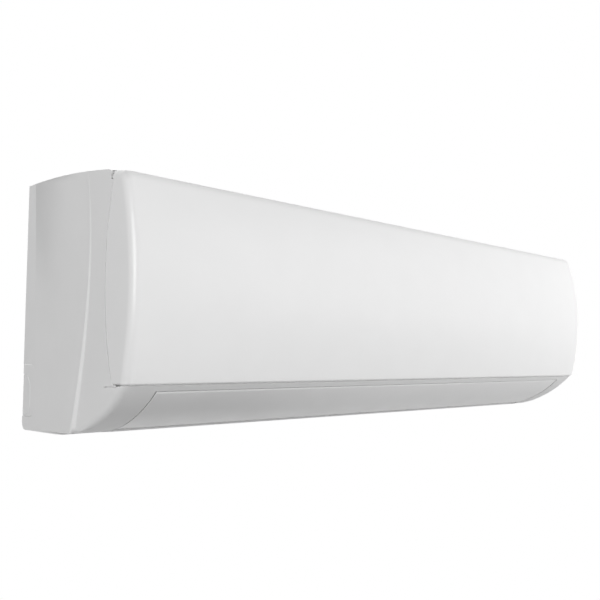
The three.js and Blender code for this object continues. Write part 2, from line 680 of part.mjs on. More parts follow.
/** Skin, lower return, ribs, the rolled bead along the hinge line, and the two hinge pins. */
function frontPanel() {
  const region = alongX(panelRegion(0), -HALF - BREAK, HALF + BREAK);
  const skin = outerForm(0).subtract(outerForm(PANEL_WALL)).intersect(region);
  const head = PANEL_FOOT + PANEL_WALL;
  const shelf = block(-HALF, HALF, -DEPTH, FOOT_RETURN - DEPTH, PANEL_FOOT, head);
  const foot = outerForm(0).intersect(region).intersect(shelf);
  const bead = rodX(HINGE, HINGE_BEAD, PANEL_WALL / 2 - HALF, HALF - PANEL_WALL / 2, 12);
  let body = join(skin, foot, panelRibs(region), bead);
  for (const side of [-1, 1]) {
    const ear = side * (HALF - HINGE_INSET);
    const reach = EAR_WIDTH / 2 + EAR_PLAY;
    const notch = block(ear - reach, ear + reach, HINGE.y - EAR_RADIUS - 1.8, HINGE.y + 2 * EAR_RADIUS,
      HINGE.z - 12, TOP);
    const pin = rodX(HINGE, HINGE_PIN, ear - reach - BREAK, ear + reach + BREAK, 12);
    const middle = side * WIDTH * LATCH_PLACE;
    const latch = block(middle - LATCH_WIDTH / 2, middle + LATCH_WIDTH / 2, FOOT_RETURN - DEPTH - 7,
      -FRAME_DEPTH - 1.5, PANEL_FOOT, head);
    body = join(body.subtract(notch), pin, latch);
  }
  return body;
}

// ---------------------------------------------------------------- outer case

const chinPoint = (depth, radius) => onArc(CHIN_CENTRE, radius, chinAngle(depth)).at(0);
const caseLipTop = FLAP_TOP_DEPTH + FLAP_SEAM;
const frameBack = -FRAME_DEPTH + FRAME_WALL;
const frameHalf = HALF - 19;
const frameHead = HINGE.z - HINGE_BEAD - 2;
const windowFoot = PANEL_FOOT + 20;
const windowHead = frameHead - 7;
const windowMiddle = (DUCT_LEFT + DUCT_RIGHT) / 2;
const windows = [[DUCT_LEFT + WINDOW_MARGIN, windowMiddle - FRAME_BAR],
  [windowMiddle + FRAME_BAR, DUCT_RIGHT - WINDOW_MARGIN]];
const gridBars = GRID_SHARES.map((f) => windowFoot + f * (windowHead - windowFoot));

/** Shelf under the panel and the strip of chin above the flap. */
function chinNose() {
  return alongX([
    point(frameBack, CHIN_TOP), point(-DEPTH, CHIN_TOP), chinPoint(caseLipTop, CHIN_RADIUS + 20),
    chinPoint(caseLipTop, CHIN_RADIUS - 5), point(frameBack, CHIN_TOP - SHELF),
  ], -HALF, HALF).intersect(outerForm(0));
}

/** Sloping wall that closes the outlet to the right of the duct, and its two end walls. */
const blankPath = () => [
  point(-FRAME_DEPTH + 2, CHIN_TOP - SHELF / 2), point(PIVOT.y + 2, PIVOT.z + 28),
  point(PIVOT.y + 28, PIVOT.z + 10), point(PIVOT.y + 28, BOTTOM + CASE_WALL / 2),
];

function outletEnds() {
  const path = blankPath();
  const rear = path[path.length - 1].x;
  const low = BOTTOM - BREAK;
  const outline = [point(-DEPTH, CHIN_TOP), ...path, point(rear, low), point(-DEPTH, low)];
  const floorSide = block(-HALF, 0, FLOOR_START.y - GAP, 0, BOTTOM - BREAK, TOP);
  const walls = [-FLAP_OPENING - CASE_WALL, FLAP_OPENING].map((from) => {
    const to = from + CASE_WALL;
    const pinHole = rodX(PIVOT, FLAP_PIN + RUN, from - BREAK, to + BREAK);
    return cut(alongX(outline, from, to).intersect(outerForm(0)), pinHole, floorSide);
  });
  const blank = alongX(sheet(blankPath(), 2), DUCT_RIGHT + HOUSING_WALL + 0.5, FLAP_OPENING + 1);
  return join(...walls, blank.intersect(outerForm(0.5)));
}

function lowerLip() {
  const top = BOTTOM + LIP_HEIGHT;
  return alongX([
    point(-LIP_DEPTH, top), point(-LIP_DEPTH, BOTTOM + 3), point(-LIP_DEPTH + 1, BOTTOM + 2.4),
    point(-LIP_DEPTH + 24, BOTTOM + 0.6), point(-LIP_DEPTH + 24, BOTTOM + CASE_WALL),
    point(-LIP_DEPTH + CASE_WALL, BOTTOM + 5), point(-LIP_DEPTH + CASE_WALL, top),
  ], -FLAP_OPENING - 0.5, FLAP_OPENING + 0.5);
}

/** Flat frame behind the panel with two grid windows, its shoulders and its top beam. */
function frontFrame() {
  const holes = windows.map(([x0, x1]) => roundedRectangle(x0, x1, windowFoot, windowHead, 4, 2));
  const access = roundedRectangle(BOX_LEFT + 8, BOX_RIGHT - 8, windowFoot + 6, windowHead - 40, 4, 2);
  const plate = [point(-frameHalf, CHIN_TOP - SHELF), point(frameHalf, CHIN_TOP - SHELF),
    point(frameHalf, frameHead), point(-frameHalf, frameHead)];
  const frame = alongY(plate, -FRAME_DEPTH, frameBack, [...holes, access]);
  const beam = block(-HALF, HALF, frameBack - 0.6, frameBack + FRAME_WALL, windowHead, TOP);
  return join(frame, beam.intersect(outerForm(0.5)), ...windows.map(windowGrid), ...frameShoulders());
}

/** Cross bars and uprights of one window. */
function windowGrid([x0, x1]) {
  const half = GRID_BAR / 2;
  const bars = gridBars.map((z) =>
    block(x0 - BREAK, x1 + BREAK, -FRAME_DEPTH, frameBack, z - half, z + half));
  const head = gridBars[gridBars.length - 1];
  const uprights = [1 / 3, 2 / 3].map((f) => {
    const x = x0 + f * (x1 - x0);
    return block(x - half, x + half, -FRAME_DEPTH, frameBack, windowFoot - BREAK, head);
  });
  return join(...bars, ...uprights);
}

/** The frame's sides, which follow the seam round the panel. */
function frameShoulders() {
  const centre = { y: -SEAM_DEPTH - SEAM_RADIUS, z: FRONT_CENTRE.z };
  const radius = SEAM_RADIUS + SEAM_GAP;
  const high = Math.asin((frameHead - 3 - centre.z) / SEAM_RADIUS);
  const low = Math.asin((CHIN_TOP - centre.z) / SEAM_RADIUS);
  const section = [...arc(centre, radius, low, high, 8), ...arc(centre, radius + FRAME_WALL, high, low, 8)];
  return [-1, 1].map((side) => {
    const [from, to] = side < 0 ? [BREAK - HALF, -frameHalf] : [frameHalf, HALF - BREAK];
    const web = side < 0 ? -frameHalf - 0.5 : frameHalf - FRAME_WALL;
    const shoulder = alongX(section, from, to).intersect(outerForm(0.2));
    return shoulder.add(block(web, web + FRAME_WALL + 0.5, -FRAME_DEPTH, 3 - SEAM_DEPTH,
      CHIN_TOP - SHELF, frameHead - 3));
  });
}

function hingeEars() {
  const ears = [-1, 1].map((side) => {
    const x = side * (HALF - HINGE_INSET);
    const eye = rodX(HINGE, EAR_RADIUS, x - EAR_WIDTH / 2, x + EAR_WIDTH / 2);
    const root = block(x - EAR_WIDTH / 2, x + EAR_WIDTH / 2, HINGE.y, frameBack + 2,
      HINGE.z - EAR_RADIUS, TOP);
    return eye.add(root).intersect(outerForm(0.2));
  });
  return join(...ears);
}

function grilleSlots() {
  const half = HALF - GRILLE_INSET;
  const pitch = (2 * half) / GRILLE_COLUMNS;
  const rowAt = (i) => {
    const from = topAngle(WALL_REVEAL);
    return TOP_RADIUS * Math.sin(from + ((topAngle(CREASE_TOP) - from) * i) / GRILLE_ROWS - Math.PI / 2);
  };
  const slots = [];
  for (let row = 1; row < GRILLE_ROWS; row += 1) {
    for (let column = 0; column < GRILLE_COLUMNS; column += 1) {
      const x = -half + column * pitch + GRILLE_BAR;
      slots.push(block(x, x + pitch - 2 * GRILLE_BAR, -rowAt(row + 1) + GRILLE_BAR / 2,
        -rowAt(row) - GRILLE_BAR / 2, TOP - 40, TOP + 5));
    }
  }
  return wasm.Manifold.union(slots);
}

const knockoutOutline = (grow) => {
  const outline = roundedRectangle(-KNOCKOUT_DEPTH - grow, KNOCKOUT_CORNER, BOTTOM + KNOCKOUT_FOOT - grow,
    BOTTOM + KNOCKOUT_HEAD + grow, KNOCKOUT_CORNER + grow, 4);
  return outline.map((p) => point(Math.min(p.x, grow > 0 ? 5 : -WALL_REVEAL), p.y));
};

function innerKnockoutOutline(grow) {
  const foot = BOTTOM + KNOCKOUT_FOOT - grow;
  const head = BOTTOM + KNOCKOUT_INNER_HEAD + grow;
  const rear = -WALL_REVEAL + (grow > 0 ? 5 : 0);
  return roundedRectangle(-KNOCKOUT_INNER_DEPTH - grow, rear + 18, foot, head, 18, 5)
    .map((p) => point(Math.min(p.x, rear), p.y));
}

function outerCase() {
  const inner = HALF - CASE_WALL;
  const rearCut = block(-inner, inner, -WALL_REVEAL - CASE_WALL - 1, 5,
    BOTTOM + REAR_CORNER_RADIUS, topSkin(WALL_REVEAL) - CASE_WALL - 0.05);
  const outlet = alongX([
    chinPoint(caseLipTop, CHIN_RADIUS + 25), chinPoint(caseLipTop, CHIN_RADIUS - 10),
    point(-LIP_DEPTH, BOTTOM + 20), point(-LIP_DEPTH, BOTTOM - 20), point(-DEPTH, BOTTOM - 20),
  ], -FLAP_OPENING, FLAP_OPENING);
  const knockouts = [-1, 1].map((side) => {
    const [from, to] = side < 0 ? [-HALF - 5, -HALF + 10] : [HALF - 10, HALF + 5];
    return alongX(knockoutOutline(GAP), from, to);
  });
  const shell = cut(outerForm(0), outerForm(CASE_WALL), rearCut, outlet,
    alongX(panelRegion(SEAM_GAP), -HALF - 5, HALF + 5), grilleSlots(), ...knockouts);
  const whole = join(shell, chinNose(), lowerLip(), outletEnds(), frontFrame(), hingeEars());
  const pins = rodX(HINGE, HINGE_PIN + RUN, -HALF + PANEL_WALL, HALF - PANEL_WALL, 12);
  const button = rodY(BUTTON.x, BUTTON.z, BUTTON_RADIUS + RUN, -FRAME_DEPTH - 1, frameBack + 1);
  return cut(whole, pins, button, ...screwPlaces().map((x) => screwForm(x, GAP)));
}

// ---------------------------------------------------------------- case screws and button

/** Screws stand on the duct's quarter points, between the vanes. */
const screwPlaces = () => [1, VANE_COUNT / 2, VANE_COUNT - 1].map((i) => DUCT_LEFT + i * VANE_PITCH);

/** A countersunk screw up through the bottom, grown all round by a clearance. */
function screwForm(x, grow = 0) {
  const foot = grow > 0 ? -3 : 0;
  const profile = [
    [0, foot], [SCREW_HEAD + grow, foot], [SCREW_HEAD + grow, 0.4], [SCREW_RADIUS + grow, SCREW_SINK],
    [SCREW_RADIUS + grow, SCREW_LENGTH - 2 + grow], [0.4, SCREW_LENGTH + grow], [0, SCREW_LENGTH + grow],
  ];
  const geometry = new THREE.LatheGeometry(profile.map(([r, z]) => point(r, z)), 8);
  geometry.rotateX(Math.PI / 2);
  return solid(geometry.translate(x, -SCREW_DEPTH, SCREW_FOOT));
}

function caseScrew(x) {
  const recess = [[CROSS_WIDTH / 2, CROSS_REACH], [CROSS_REACH, CROSS_WIDTH / 2]].map(([across, deep]) =>
    block(x - across, x + across, -SCREW_DEPTH - deep, -SCREW_DEPTH + deep,
      SCREW_FOOT - BREAK, SCREW_FOOT + 1));
  return cut(screwForm(x), ...recess);
}

/** Cap, and a collar that keeps it behind the frame. */
function auxButton() {
  const back = frameBack + GAP + BUTTON_COLLAR;
  const cap = rodY(BUTTON.x, BUTTON.z, BUTTON_RADIUS, -FRAME_DEPTH - BUTTON_STAND, back, 14);
  return cap.add(rodY(BUTTON.x, BUTTON.z, BUTTON_RADIUS + BUTTON_COLLAR, frameBack + GAP, back, 14));
}

// ---------------------------------------------------------------- air duct

const floorAlong = new THREE.Vector2(Math.cos(FLOOR), Math.sin(FLOOR)); // to the rear
const floorNormal = new THREE.Vector2(-Math.sin(FLOOR), Math.cos(FLOOR)); // into the duct
/** A point over the duct floor, by its distance behind the floor's front edge and its height. */
const floorPoint = (distance, height = 0) =>
  point(FLOOR_START.y, FLOOR_START.z)
    .addScaledVector(floorAlong, distance)
    .addScaledVector(floorNormal, height);
const fanToFloor = -point(FLOOR_START.y - FAN.y, FLOOR_START.z - FAN.z).dot(floorNormal);
const fanAlongFloor = point(FAN.y - FLOOR_START.y, FAN.z - FLOOR_START.z).dot(floorAlong);
const gutterTop = FAN.z + FAN_RADIUS + 12;
const gutterWall = FAN.y + SCROLL_START - 2;
const SCROLL_WALL = 2.5;

/** Duct surface from the outlet lip, up the floor, round the scroll behind the fan, to the rear gutter. */
function scrollPath() {
  const from = FLOOR - Math.PI / 2;
  const to = THREE.MathUtils.degToRad(SCROLL_START_ANGLE);
  const steps = 9;
  const path = [floorPoint(0)];
  for (let i = 0; i <= steps; i += 1) {
    const angle = from + ((to - from) * i) / steps;
    const radius = fanToFloor + ((SCROLL_START - fanToFloor) * i) / steps;
    path.push(point(FAN.y + radius * Math.cos(angle), FAN.z + radius * Math.sin(angle)));
  }
  path.push(point(gutterWall, gutterTop));
  return path;
}

// ---------------------------------------------------------------- evaporator

/** A slab of fins between two points of its centre line. */
const slab = (y0, z0, y1, z1) => {
  const start = point(y0, z0);
  const direction = point(y1 - y0, z1 - z0);
  const length = direction.length();
  const unitDirection = direction.normalize();
  const side = point(-unitDirection.y, unitDirection.x);
  return {
    length,
    at: (distance, across) =>
      start.clone().addScaledVector(unitDirection, distance).addScaledVector(side, across),
  };
};

const coilFront = frameBack + COIL_FRONT_GAP + COIL_THICKNESS / 2;
const SLABS = {
  coil_front_lower: slab(coilFront, FAN.z - COIL_FOOT, coilFront, FAN.z + COIL_LOWER_HEAD),
  coil_front_upper: slab(coilFront + COIL_UPPER_SETBACK, FAN.z + COIL_UPPER_FOOT,
    coilFront + COIL_UPPER_REACH, TOP - COIL_UPPER_INSET),
  coil_rear: slab(FAN.y + COIL_REAR_START, TOP - COIL_REAR_INSET,
    -BACK_DEPTH - BACK_WALL - COIL_REAR_GAP, FAN.z + COIL_REAR_FOOT),
};
const BENDS = 3; // return bends at each end of a slab

function bendPlaces(part, end) {
  const pitch = (part.length - 16) / (2 * BENDS);
  const offset = end < 0 ? 0 : pitch / 2;
  return Array.from({ length: BENDS }, (_, i) => {
    const low = 8 + offset + (2 * i + 0.25) * pitch;
    return [part.at(low, 0), part.at(Math.min(low + pitch, part.length - 5), 0)];
  });
}

/** A copper return bend between two tubes, standing out of the fin block. */
function returnBend([a, b], x, side) {
  const middle = a.clone().add(b).divideScalar(2);
  const half = b.clone().sub(a).divideScalar(2);
  const path = [new THREE.Vector3(x - side * 2, a.x, a.y)];
  for (let i = 0; i <= 4; i += 1) {
    const angle = (Math.PI * i) / 4;
    const across = middle.clone().addScaledVector(half, -Math.cos(angle));
    path.push(new THREE.Vector3(x + side * BEND_REACH * Math.sin(angle), across.x, across.y));
  }
  path.push(new THREE.Vector3(x - side * 2, b.x, b.y));
  return tube(path, TUBE_RADIUS, 5);
}

function finBlock(part) {
  const half = COIL_THICKNESS / 2;
  const outline = [part.at(0, -half), part.at(part.length, -half),
    part.at(part.length, half), part.at(0, half)];
  let body = alongX(outline, COIL_LEFT, COIL_RIGHT);
  for (const [side, x] of [[-1, COIL_LEFT], [1, COIL_RIGHT]]) {
    for (const place of bendPlaces(part, side)) body = body.add(returnBend(place, x, side));
  }
  return body;
}

/** Sheet metal end that ties the three slabs together, with a slot round each return bend. */
function coilEnd(side) {
  const half = COIL_THICKNESS / 2 + 1.5;
  const from = side < 0 ? COIL_LEFT - GAP - COIL_END_WALL : COIL_RIGHT + GAP;
  const to = from + COIL_END_WALL;
  const plates = Object.values(SLABS).map((part) => alongX([
    part.at(-1, -half), part.at(part.length + 1, -half), part.at(part.length + 1, half), part.at(-1, half),
  ], from, to));
  const lower = SLABS.coil_front_lower;
  const upper = SLABS.coil_front_upper;
  const rear = SLABS.coil_rear;
  const bridge = (...corners) => alongX(corners, from, to);
  plates.push(bridge(lower.at(lower.length - 4, -half), upper.at(6, -half), upper.at(6, half),
    lower.at(lower.length - 4, half)));
  plates.push(bridge(upper.at(upper.length - 4, -half), rear.at(6, -half), rear.at(12, half),
    upper.at(upper.length - 4, half)));
  const slots = Object.values(SLABS).flatMap((part) => bendPlaces(part, side).map(([a, b]) => {
    const run = b.clone().sub(a).normalize();
    const cross = point(-run.y, run.x);
    const reach = TUBE_RADIUS + 0.9;
    const outline = [[a, -1, -1], [b, 1, -1], [b, 1, 1], [a, -1, 1]].map(([centre, u, v]) =>
      centre.clone().addScaledVector(run, u * reach).addScaledVector(cross, v * reach));
    return alongX(outline, from - 1, to + 1);
  }));
  return cut(join(...plates), ...slots);
}

// ---------------------------------------------------------------- rear housing

const gasX = DUCT_RIGHT + GAS_OFFSET;
const liquidX = DUCT_RIGHT + LIQUID_OFFSET;
const HOUSING_LEFT = DUCT_LEFT - HOUSING_WALL;
const HOUSING_RIGHT = DUCT_RIGHT + HOUSING_WALL;
const backInside = -BACK_DEPTH - BACK_WALL;
const gutterFloor = FAN.z + FAN_RADIUS - 4;
const wallTop = FAN.z + FAN_RADIUS + 4;
const TONGUE = {
  y: FAN.y - TONGUE_RADIUS * Math.cos(FLOOR - TONGUE_TURN),
  z: FAN.z - TONGUE_RADIUS * Math.sin(FLOOR - TONGUE_TURN),
};
const trayBack = { y: TONGUE.y - 5, z: TONGUE.z + 18.5 };
const plateTop = TOP - PLATE_TOP_INSET;
const tongueTop = plateTop - HOOK_DROP + PLATE_SHEET;
const bedTop = FAN.z - MOTOR_RADIUS - 6;
const bedFront = FAN.y - MOTOR_RADIUS - 4;
const bedBack = FAN.y + MOTOR_RADIUS + 4;
const innerRing = [DUCT_RIGHT + 7, DUCT_RIGHT + 7 + MOTOR_RING_WIDTH];
const motorLeft = innerRing[1] + 1;
const motorRight = motorLeft + MOTOR_LENGTH;
const outerRing = [motorRight + 1, motorRight + 1 + MOTOR_RING_WIDTH];
const cradles = [innerRing, outerRing].map(([from, to]) => [from + 0.5, to - 0.5]);
const bedRight = outerRing[1] + 6;
const shaftEnd = motorLeft + SHAFT_REACH;

const FLOOR_FRAME = new THREE.Matrix4().makeRotationX(FLOOR).setPosition(0, FLOOR_START.y, FLOOR_START.z);

/** A round bar square to the duct floor, a distance behind its front edge and between two heights. */
function floorRod(x, distance, low, high, radius, sides = 8) {
  const geometry = new THREE.CylinderGeometry(radius, radius, high - low, sides);
  geometry.rotateX(Math.PI / 2).translate(x, distance, (low + high) / 2);
  return solid(geometry.applyMatrix4(FLOOR_FRAME));
}

/** The room that the flap's lower edge needs as it swings, between two places along X. */
function flapSwing(from, to) {
  const edge = chinPoint(FLAP_FOOT_DEPTH, CHIN_RADIUS);
  return rodX(PIVOT, Math.hypot(edge.x - PIVOT.y, edge.y - PIVOT.z) + PASS, from - BREAK, to + BREAK, 24);
}

const vanePlaces = Array.from({ length: VANE_COUNT }, (_, i) => DUCT_LEFT + (i + 0.5) * VANE_PITCH);

function ductEnd(from, to) {
  const path = scrollPath();
  const outer = sheet(path, SCROLL_WALL).slice(path.length).reverse();
  const outline = [
    ...outer.slice(0, -1), point(gutterWall + SCROLL_WALL, gutterFloor), point(backInside, gutterFloor),
    point(backInside, gutterTop), point(gutterWall, gutterTop), point(gutterWall, wallTop),
    point(trayBack.y - 3, wallTop), point(trayBack.y - 3, TONGUE.z - 8), point(trayBack.y - 14, CHIN_TOP + 1),
    point(PIVOT.y, CHIN_TOP - 3), floorPoint(0, 24), floorPoint(0),
  ];
  return alongX(outline, from, to).subtract(flapSwing(from, to));
}

function backWall() {
  const slots = [-1, 1].map((side) => {
    const x = (side * HOOK_SPACING) / 2;
    return [point(x - HOOK_WIDTH / 2 - 2, tongueTop - 8), point(x - HOOK_WIDTH / 2 - 2, tongueTop + GAP),
      point(x + HOOK_WIDTH / 2 + 2, tongueTop + GAP), point(x + HOOK_WIDTH / 2 + 2, tongueTop - 8)];
  });
  const half = HALF - CASE_WALL - 12;
  const top = TOP - CASE_WALL - 1.5;
  const foot = CHANNEL_TOP - BACK_WALL;
  const outline = [point(-half, foot), point(half, foot), point(half, top), point(-half, top)];
  return alongY(outline, backInside, -BACK_DEPTH, slots);
}

/** Shelf that carries the motor, and a half-round rib under each of its rubber rings. */
function motorBed() {
  const bed = alongX(sheet([
    point(bedFront, bedTop), point(bedBack, bedTop), point(bedBack + 12, CHANNEL_TOP),
    point(-BACK_DEPTH - 1, CHANNEL_TOP),
  ], BACK_WALL), HOUSING_RIGHT - 1, bedRight);
  const ribs = cradles.map(([from, to]) => alongX([
    point(bedFront, bedTop - 1), point(bedBack, bedTop - 1), point(bedBack, FAN.z), point(bedFront, FAN.z),
  ], from, to).subtract(rodX(FAN, MOTOR_RING + GAP, from - 1, to + 1, 14)));
  return join(bed, ...ribs);
}

function coilSeats() {
  const rear = SLABS.coil_rear;
  const inner = rear.at(rear.length + GAP, -COIL_THICKNESS / 2);
  const outer = rear.at(rear.length + GAP, COIL_THICKNESS / 2);
  const outline = [point(inner.x, gutterFloor - 1), point(outer.x, gutterFloor - 1), outer, inner];
  const pitch = DUCT_WIDTH / COIL_SUPPORTS;
  const seats = Array.from({ length: COIL_SUPPORTS }, (_, i) => {
    const x = DUCT_LEFT + (i + 0.5) * pitch;
    return alongX(outline, x - 1.5, x + 1.5);
  });
  return join(...seats);
}

/** Bosses under the floor that take the case screws. */
function screwBosses() {
  const foot = chinSkin(SCREW_DEPTH + BOSS_RADIUS) + CASE_WALL + GAP;
  const head = floorPoint((FLOOR_START.y + SCREW_DEPTH) / -Math.cos(FLOOR)).y - 2;
  return screwPlaces().map((x) => rodZ(x, -SCREW_DEPTH, BOSS_RADIUS, foot, head, 10));
}

function rearHousing() {
  const scroll = alongX(sheet(scrollPath(), SCROLL_WALL), HOUSING_LEFT, HOUSING_RIGHT);
  const rear = -BACK_DEPTH - 1;
  const gutter = block(HOUSING_LEFT, HOUSING_RIGHT, gutterWall + 1, rear,
    gutterFloor - BACK_WALL, gutterFloor);
  const roof = block(HOUSING_LEFT, HOUSING_RIGHT, FAN.y + SCROLL_START + 4, rear,
    CHANNEL_TOP - BACK_WALL, CHANNEL_TOP);
  const ends = [ductEnd(HOUSING_LEFT, DUCT_LEFT), ductEnd(DUCT_RIGHT, HOUSING_RIGHT)];
  const whole = join(scroll, gutter, roof, ...ends, backWall(), motorBed(), coilSeats(), ...screwBosses());
  const shaftWays = [rodX(FAN, BEARING_RADIUS + GAP, HOUSING_LEFT - BREAK, DUCT_LEFT + BREAK, 14),
    rodX(FAN, BEARING_RADIUS + 2, DUCT_RIGHT - BREAK, HOUSING_RIGHT + BREAK, 14)];
  const pins = vanePlaces.map((x) => floorRod(x, VANE_PIVOT, -SCROLL_WALL - BREAK, BREAK, VANE_PIN + RUN));
  const pipes = [[gasX, GAS_RADIUS], [liquidX, LIQUID_RADIUS]].map(([x, radius]) =>
    rodZ(x, -PIPE_DROP, radius + PIPE_PLAY, CHANNEL_TOP - 2 * BACK_WALL, CHANNEL_TOP + BREAK));
  return cut(whole, ...shaftWays, ...pins, ...pipes, ...screwPlaces().map((x) => screwForm(x, GAP)));
}

// ---------------------------------------------------------------- drain tray

const SPOUT = { y: coilFront + 1, z: FAN.z - 23.5 };
const trayLeft = DUCT_LEFT + GAP;
const trayRight = DUCT_RIGHT - GAP;
const troughFloor = SLABS.coil_front_lower.at(0, 0).y - 6;

function drainTray() {
  const front = frameBack + GAP;
  const rear = trayBack.y;
  const lowerFront = point(front, CHIN_TOP + 1.5);
  const section = [
    point(rear, trayBack.z), point(TONGUE.y - 0.6, TONGUE.z + 1.6), point(TONGUE.y, TONGUE.z),
    point(TONGUE.y - 1.4, TONGUE.z - 1.2), lowerFront, point(front, trayBack.z - 6),
    point(front + 2.5, trayBack.z - 6), point(front + 2.5, troughFloor - 2), point(rear - 2.5, troughFloor),
    point(rear - 2.5, trayBack.z),
  ];
  const end = section.slice(0, 6);
  let body = alongX(section, trayLeft, trayRight);
  body = body.add(alongX(end, trayLeft, trayLeft + 2.5)).add(alongX(end, trayRight - 2.5, trayRight));
  const pitch = (COIL_RIGHT - COIL_LEFT) / (2 * COIL_SUPPORTS);
  for (let i = 0; i < 2 * COIL_SUPPORTS; i += 1) {
    const x = COIL_LEFT + (i + 0.5) * pitch;
    const head = SLABS.coil_front_lower.at(0, 0).y - GAP;
    body = body.add(block(x - 1, x + 1, front + 1, rear - 1, troughFloor - 3, head));
  }
  const spouts = [rodX(SPOUT, SPOUT_RADIUS, trayLeft - SPOUT_LENGTH, trayLeft + 1, 14),
    rodX(SPOUT, SPOUT_RADIUS, trayRight - 1, trayRight + SPOUT_LENGTH / 2, 14)];
  const bores = [rodX(SPOUT, SPOUT_BORE, trayLeft - SPOUT_LENGTH - BREAK, trayLeft + 4, 14),
    rodX(SPOUT, SPOUT_BORE, trayRight - 4, trayRight + SPOUT_LENGTH, 14)];
  return cut(join(body, ...spouts), ...bores);
}

/** Rubber stopper for the spout that is not used. */
function drainPlug() {
  const mouth = trayLeft - SPOUT_LENGTH - GAP;
  const stem = rodX(SPOUT, SPOUT_BORE - GAP, mouth - 1, trayLeft - 3, 14);
  return stem.add(rodX(SPOUT, SPOUT_RADIUS + 1, mouth - 3, mouth, 14));
}

// ---------------------------------------------------------------- fan and motor

function blade(angle, from, to) {
  const line = [0, 0.5, 1].map((f) => {
    const radius = FAN_BORE + 0.8 + f * (FAN_RADIUS - FAN_BORE - 1.6);
    const turn = angle + BLADE_SWEEP * (f - 0.45 * f * f);
    return point(FAN.y + radius * Math.cos(turn), FAN.z + radius * Math.sin(turn));
  });
  return alongX(sheet(line, BLADE_WALL), from, to);
}

function fanWheel() {
  const pitch = (FAN_RIGHT - FAN_LEFT - FAN_DISC) / FAN_SECTIONS;
  const hole = circle(FAN, FAN_BORE, FAN_BLADES);
  const rim = circle(FAN, FAN_RADIUS, FAN_BLADES);
  const parts = [];
  for (let i = 0; i <= FAN_SECTIONS; i += 1) {
    const x = FAN_LEFT + i * pitch;
    const holes = i > 0 && i < FAN_SECTIONS ? [hole] : [];
    parts.push(alongX(rim, x, x + FAN_DISC, holes));
    if (i === FAN_SECTIONS) break;
    for (let k = 0; k < FAN_BLADES; k += 1) {
      const angle = (2 * Math.PI * (k + 0.4 * i)) / FAN_BLADES;
      parts.push(blade(angle, x + FAN_DISC / 2, x + pitch + FAN_DISC / 2));
    }
  }
  const hub = rodX(FAN, HUB_RADIUS, FAN_RIGHT - FAN_DISC - 8, FAN_RIGHT + HUB_LENGTH, 16);
  const boss = rodX(FAN, HUB_RADIUS - 3, FAN_LEFT, FAN_LEFT + 14, 16);
  return cut(wasm.Manifold.union([...parts, hub, boss]),
    rodX(FAN, SHAFT_RADIUS + GAP, FAN_RIGHT - FAN_DISC - 4, FAN_RIGHT + HUB_LENGTH + 1, 12),
    rodX(FAN, SHAFT_RADIUS + GAP, FAN_LEFT - 1, FAN_LEFT + 10, 12));
}

/** A round piece turned about the fan's axis from (x, radius) pairs. */
function turned(profile, sides) {
  const geometry = new THREE.LatheGeometry(profile.map(([x, radius]) => point(radius, x)), sides);
  geometry.rotateZ(-Math.PI / 2);
  return solid(geometry.translate(0, FAN.y, FAN.z));
}

function fanMotor() {
  const body = turned([
    [innerRing[0], 0], [innerRing[0], RING_BORE], [motorLeft, RING_BORE], [motorLeft, MOTOR_RADIUS - 12],
    [motorLeft + 5, MOTOR_RADIUS], [motorRight - 9, MOTOR_RADIUS], [motorRight - 6, MOTOR_RADIUS - 3],
    [motorRight, MOTOR_RADIUS - 6], [motorRight, RING_BORE], [outerRing[1], RING_BORE], [outerRing[1], 0],
  ], 18);
  return body.subtract(rodX(FAN, SHAFT_RADIUS + GAP, innerRing[0] - 1, shaftEnd + 1, 12));
}

const ring = (from, to, outer, inner, sides) =>
  rodX(FAN, outer, from, to, sides).subtract(rodX(FAN, inner, from - 1, to + 1, sides));

/** Strap over both rubber rings, seated on the cradle ribs. */
function motorClamp() {
  const foot = FAN.z + GAP;
  const crown = MOTOR_RING + GAP + CLAMP_WALL;
  const arches = cradles.map(([from, to]) => {
    const outline = [point(bedFront, foot), point(bedBack, foot), point(bedBack, foot + CLAMP_WALL),
      ...arc(FAN, crown, 0.25, Math.PI - 0.25, 8), point(bedFront, foot + CLAMP_WALL)];
    return alongX(outline, from, to);
  });
  const [from, to] = [cradles[0][0], cradles[1][1]];
  const rails = [block(from, to, bedFront, bedFront + 3.3, foot, foot + CLAMP_WALL),
    block(from, to, bedBack - 3.3, bedBack, foot, foot + CLAMP_WALL)];
  return join(...arches, ...rails).subtract(rodX(FAN, MOTOR_RING + GAP, from - 1, to + 1, 14));
}

// ---------------------------------------------------------------- outlet flap

function airFlap() {
  const steps = 10;
  const from = chinAngle(FLAP_TOP_DEPTH);
  const to = chinAngle(FLAP_FOOT_DEPTH);
  const places = arcPlaces(CHIN_CENTRE, CHIN_RADIUS, from, to, steps);
  const inner = places.map((place, i) =>
    place.at(FLAP_EDGE + (FLAP_THICKNESS - FLAP_EDGE) * Math.sin((Math.PI * i) / steps)));
  const outer = places.map((place) => place.at(0));
  const blade = alongX([...outer, ...inner.reverse()], -FLAP_HALF, FLAP_HALF);
  const foot = (depth) => chinPoint(depth, CHIN_RADIUS - 1);
  const arm = [...arc(PIVOT, FLAP_ARM_RADIUS, -0.5, Math.PI + 0.3, 6),
    foot(FLAP_PIVOT_DEPTH + FLAP_ARM_FRONT), foot(FLAP_PIVOT_DEPTH - FLAP_ARM_REAR)];
  const inside = FLAP_HALF - FLAP_ARM;
  const tip = FLAP_OPENING + CASE_WALL + 4;
  return join(blade, alongX(arm, -FLAP_HALF, -inside), alongX(arm, inside, FLAP_HALF),
    rodX(PIVOT, FLAP_PIN, -tip, -inside - 1, 12), rodX(PIVOT, FLAP_PIN, inside + 1, tip, 12));
}

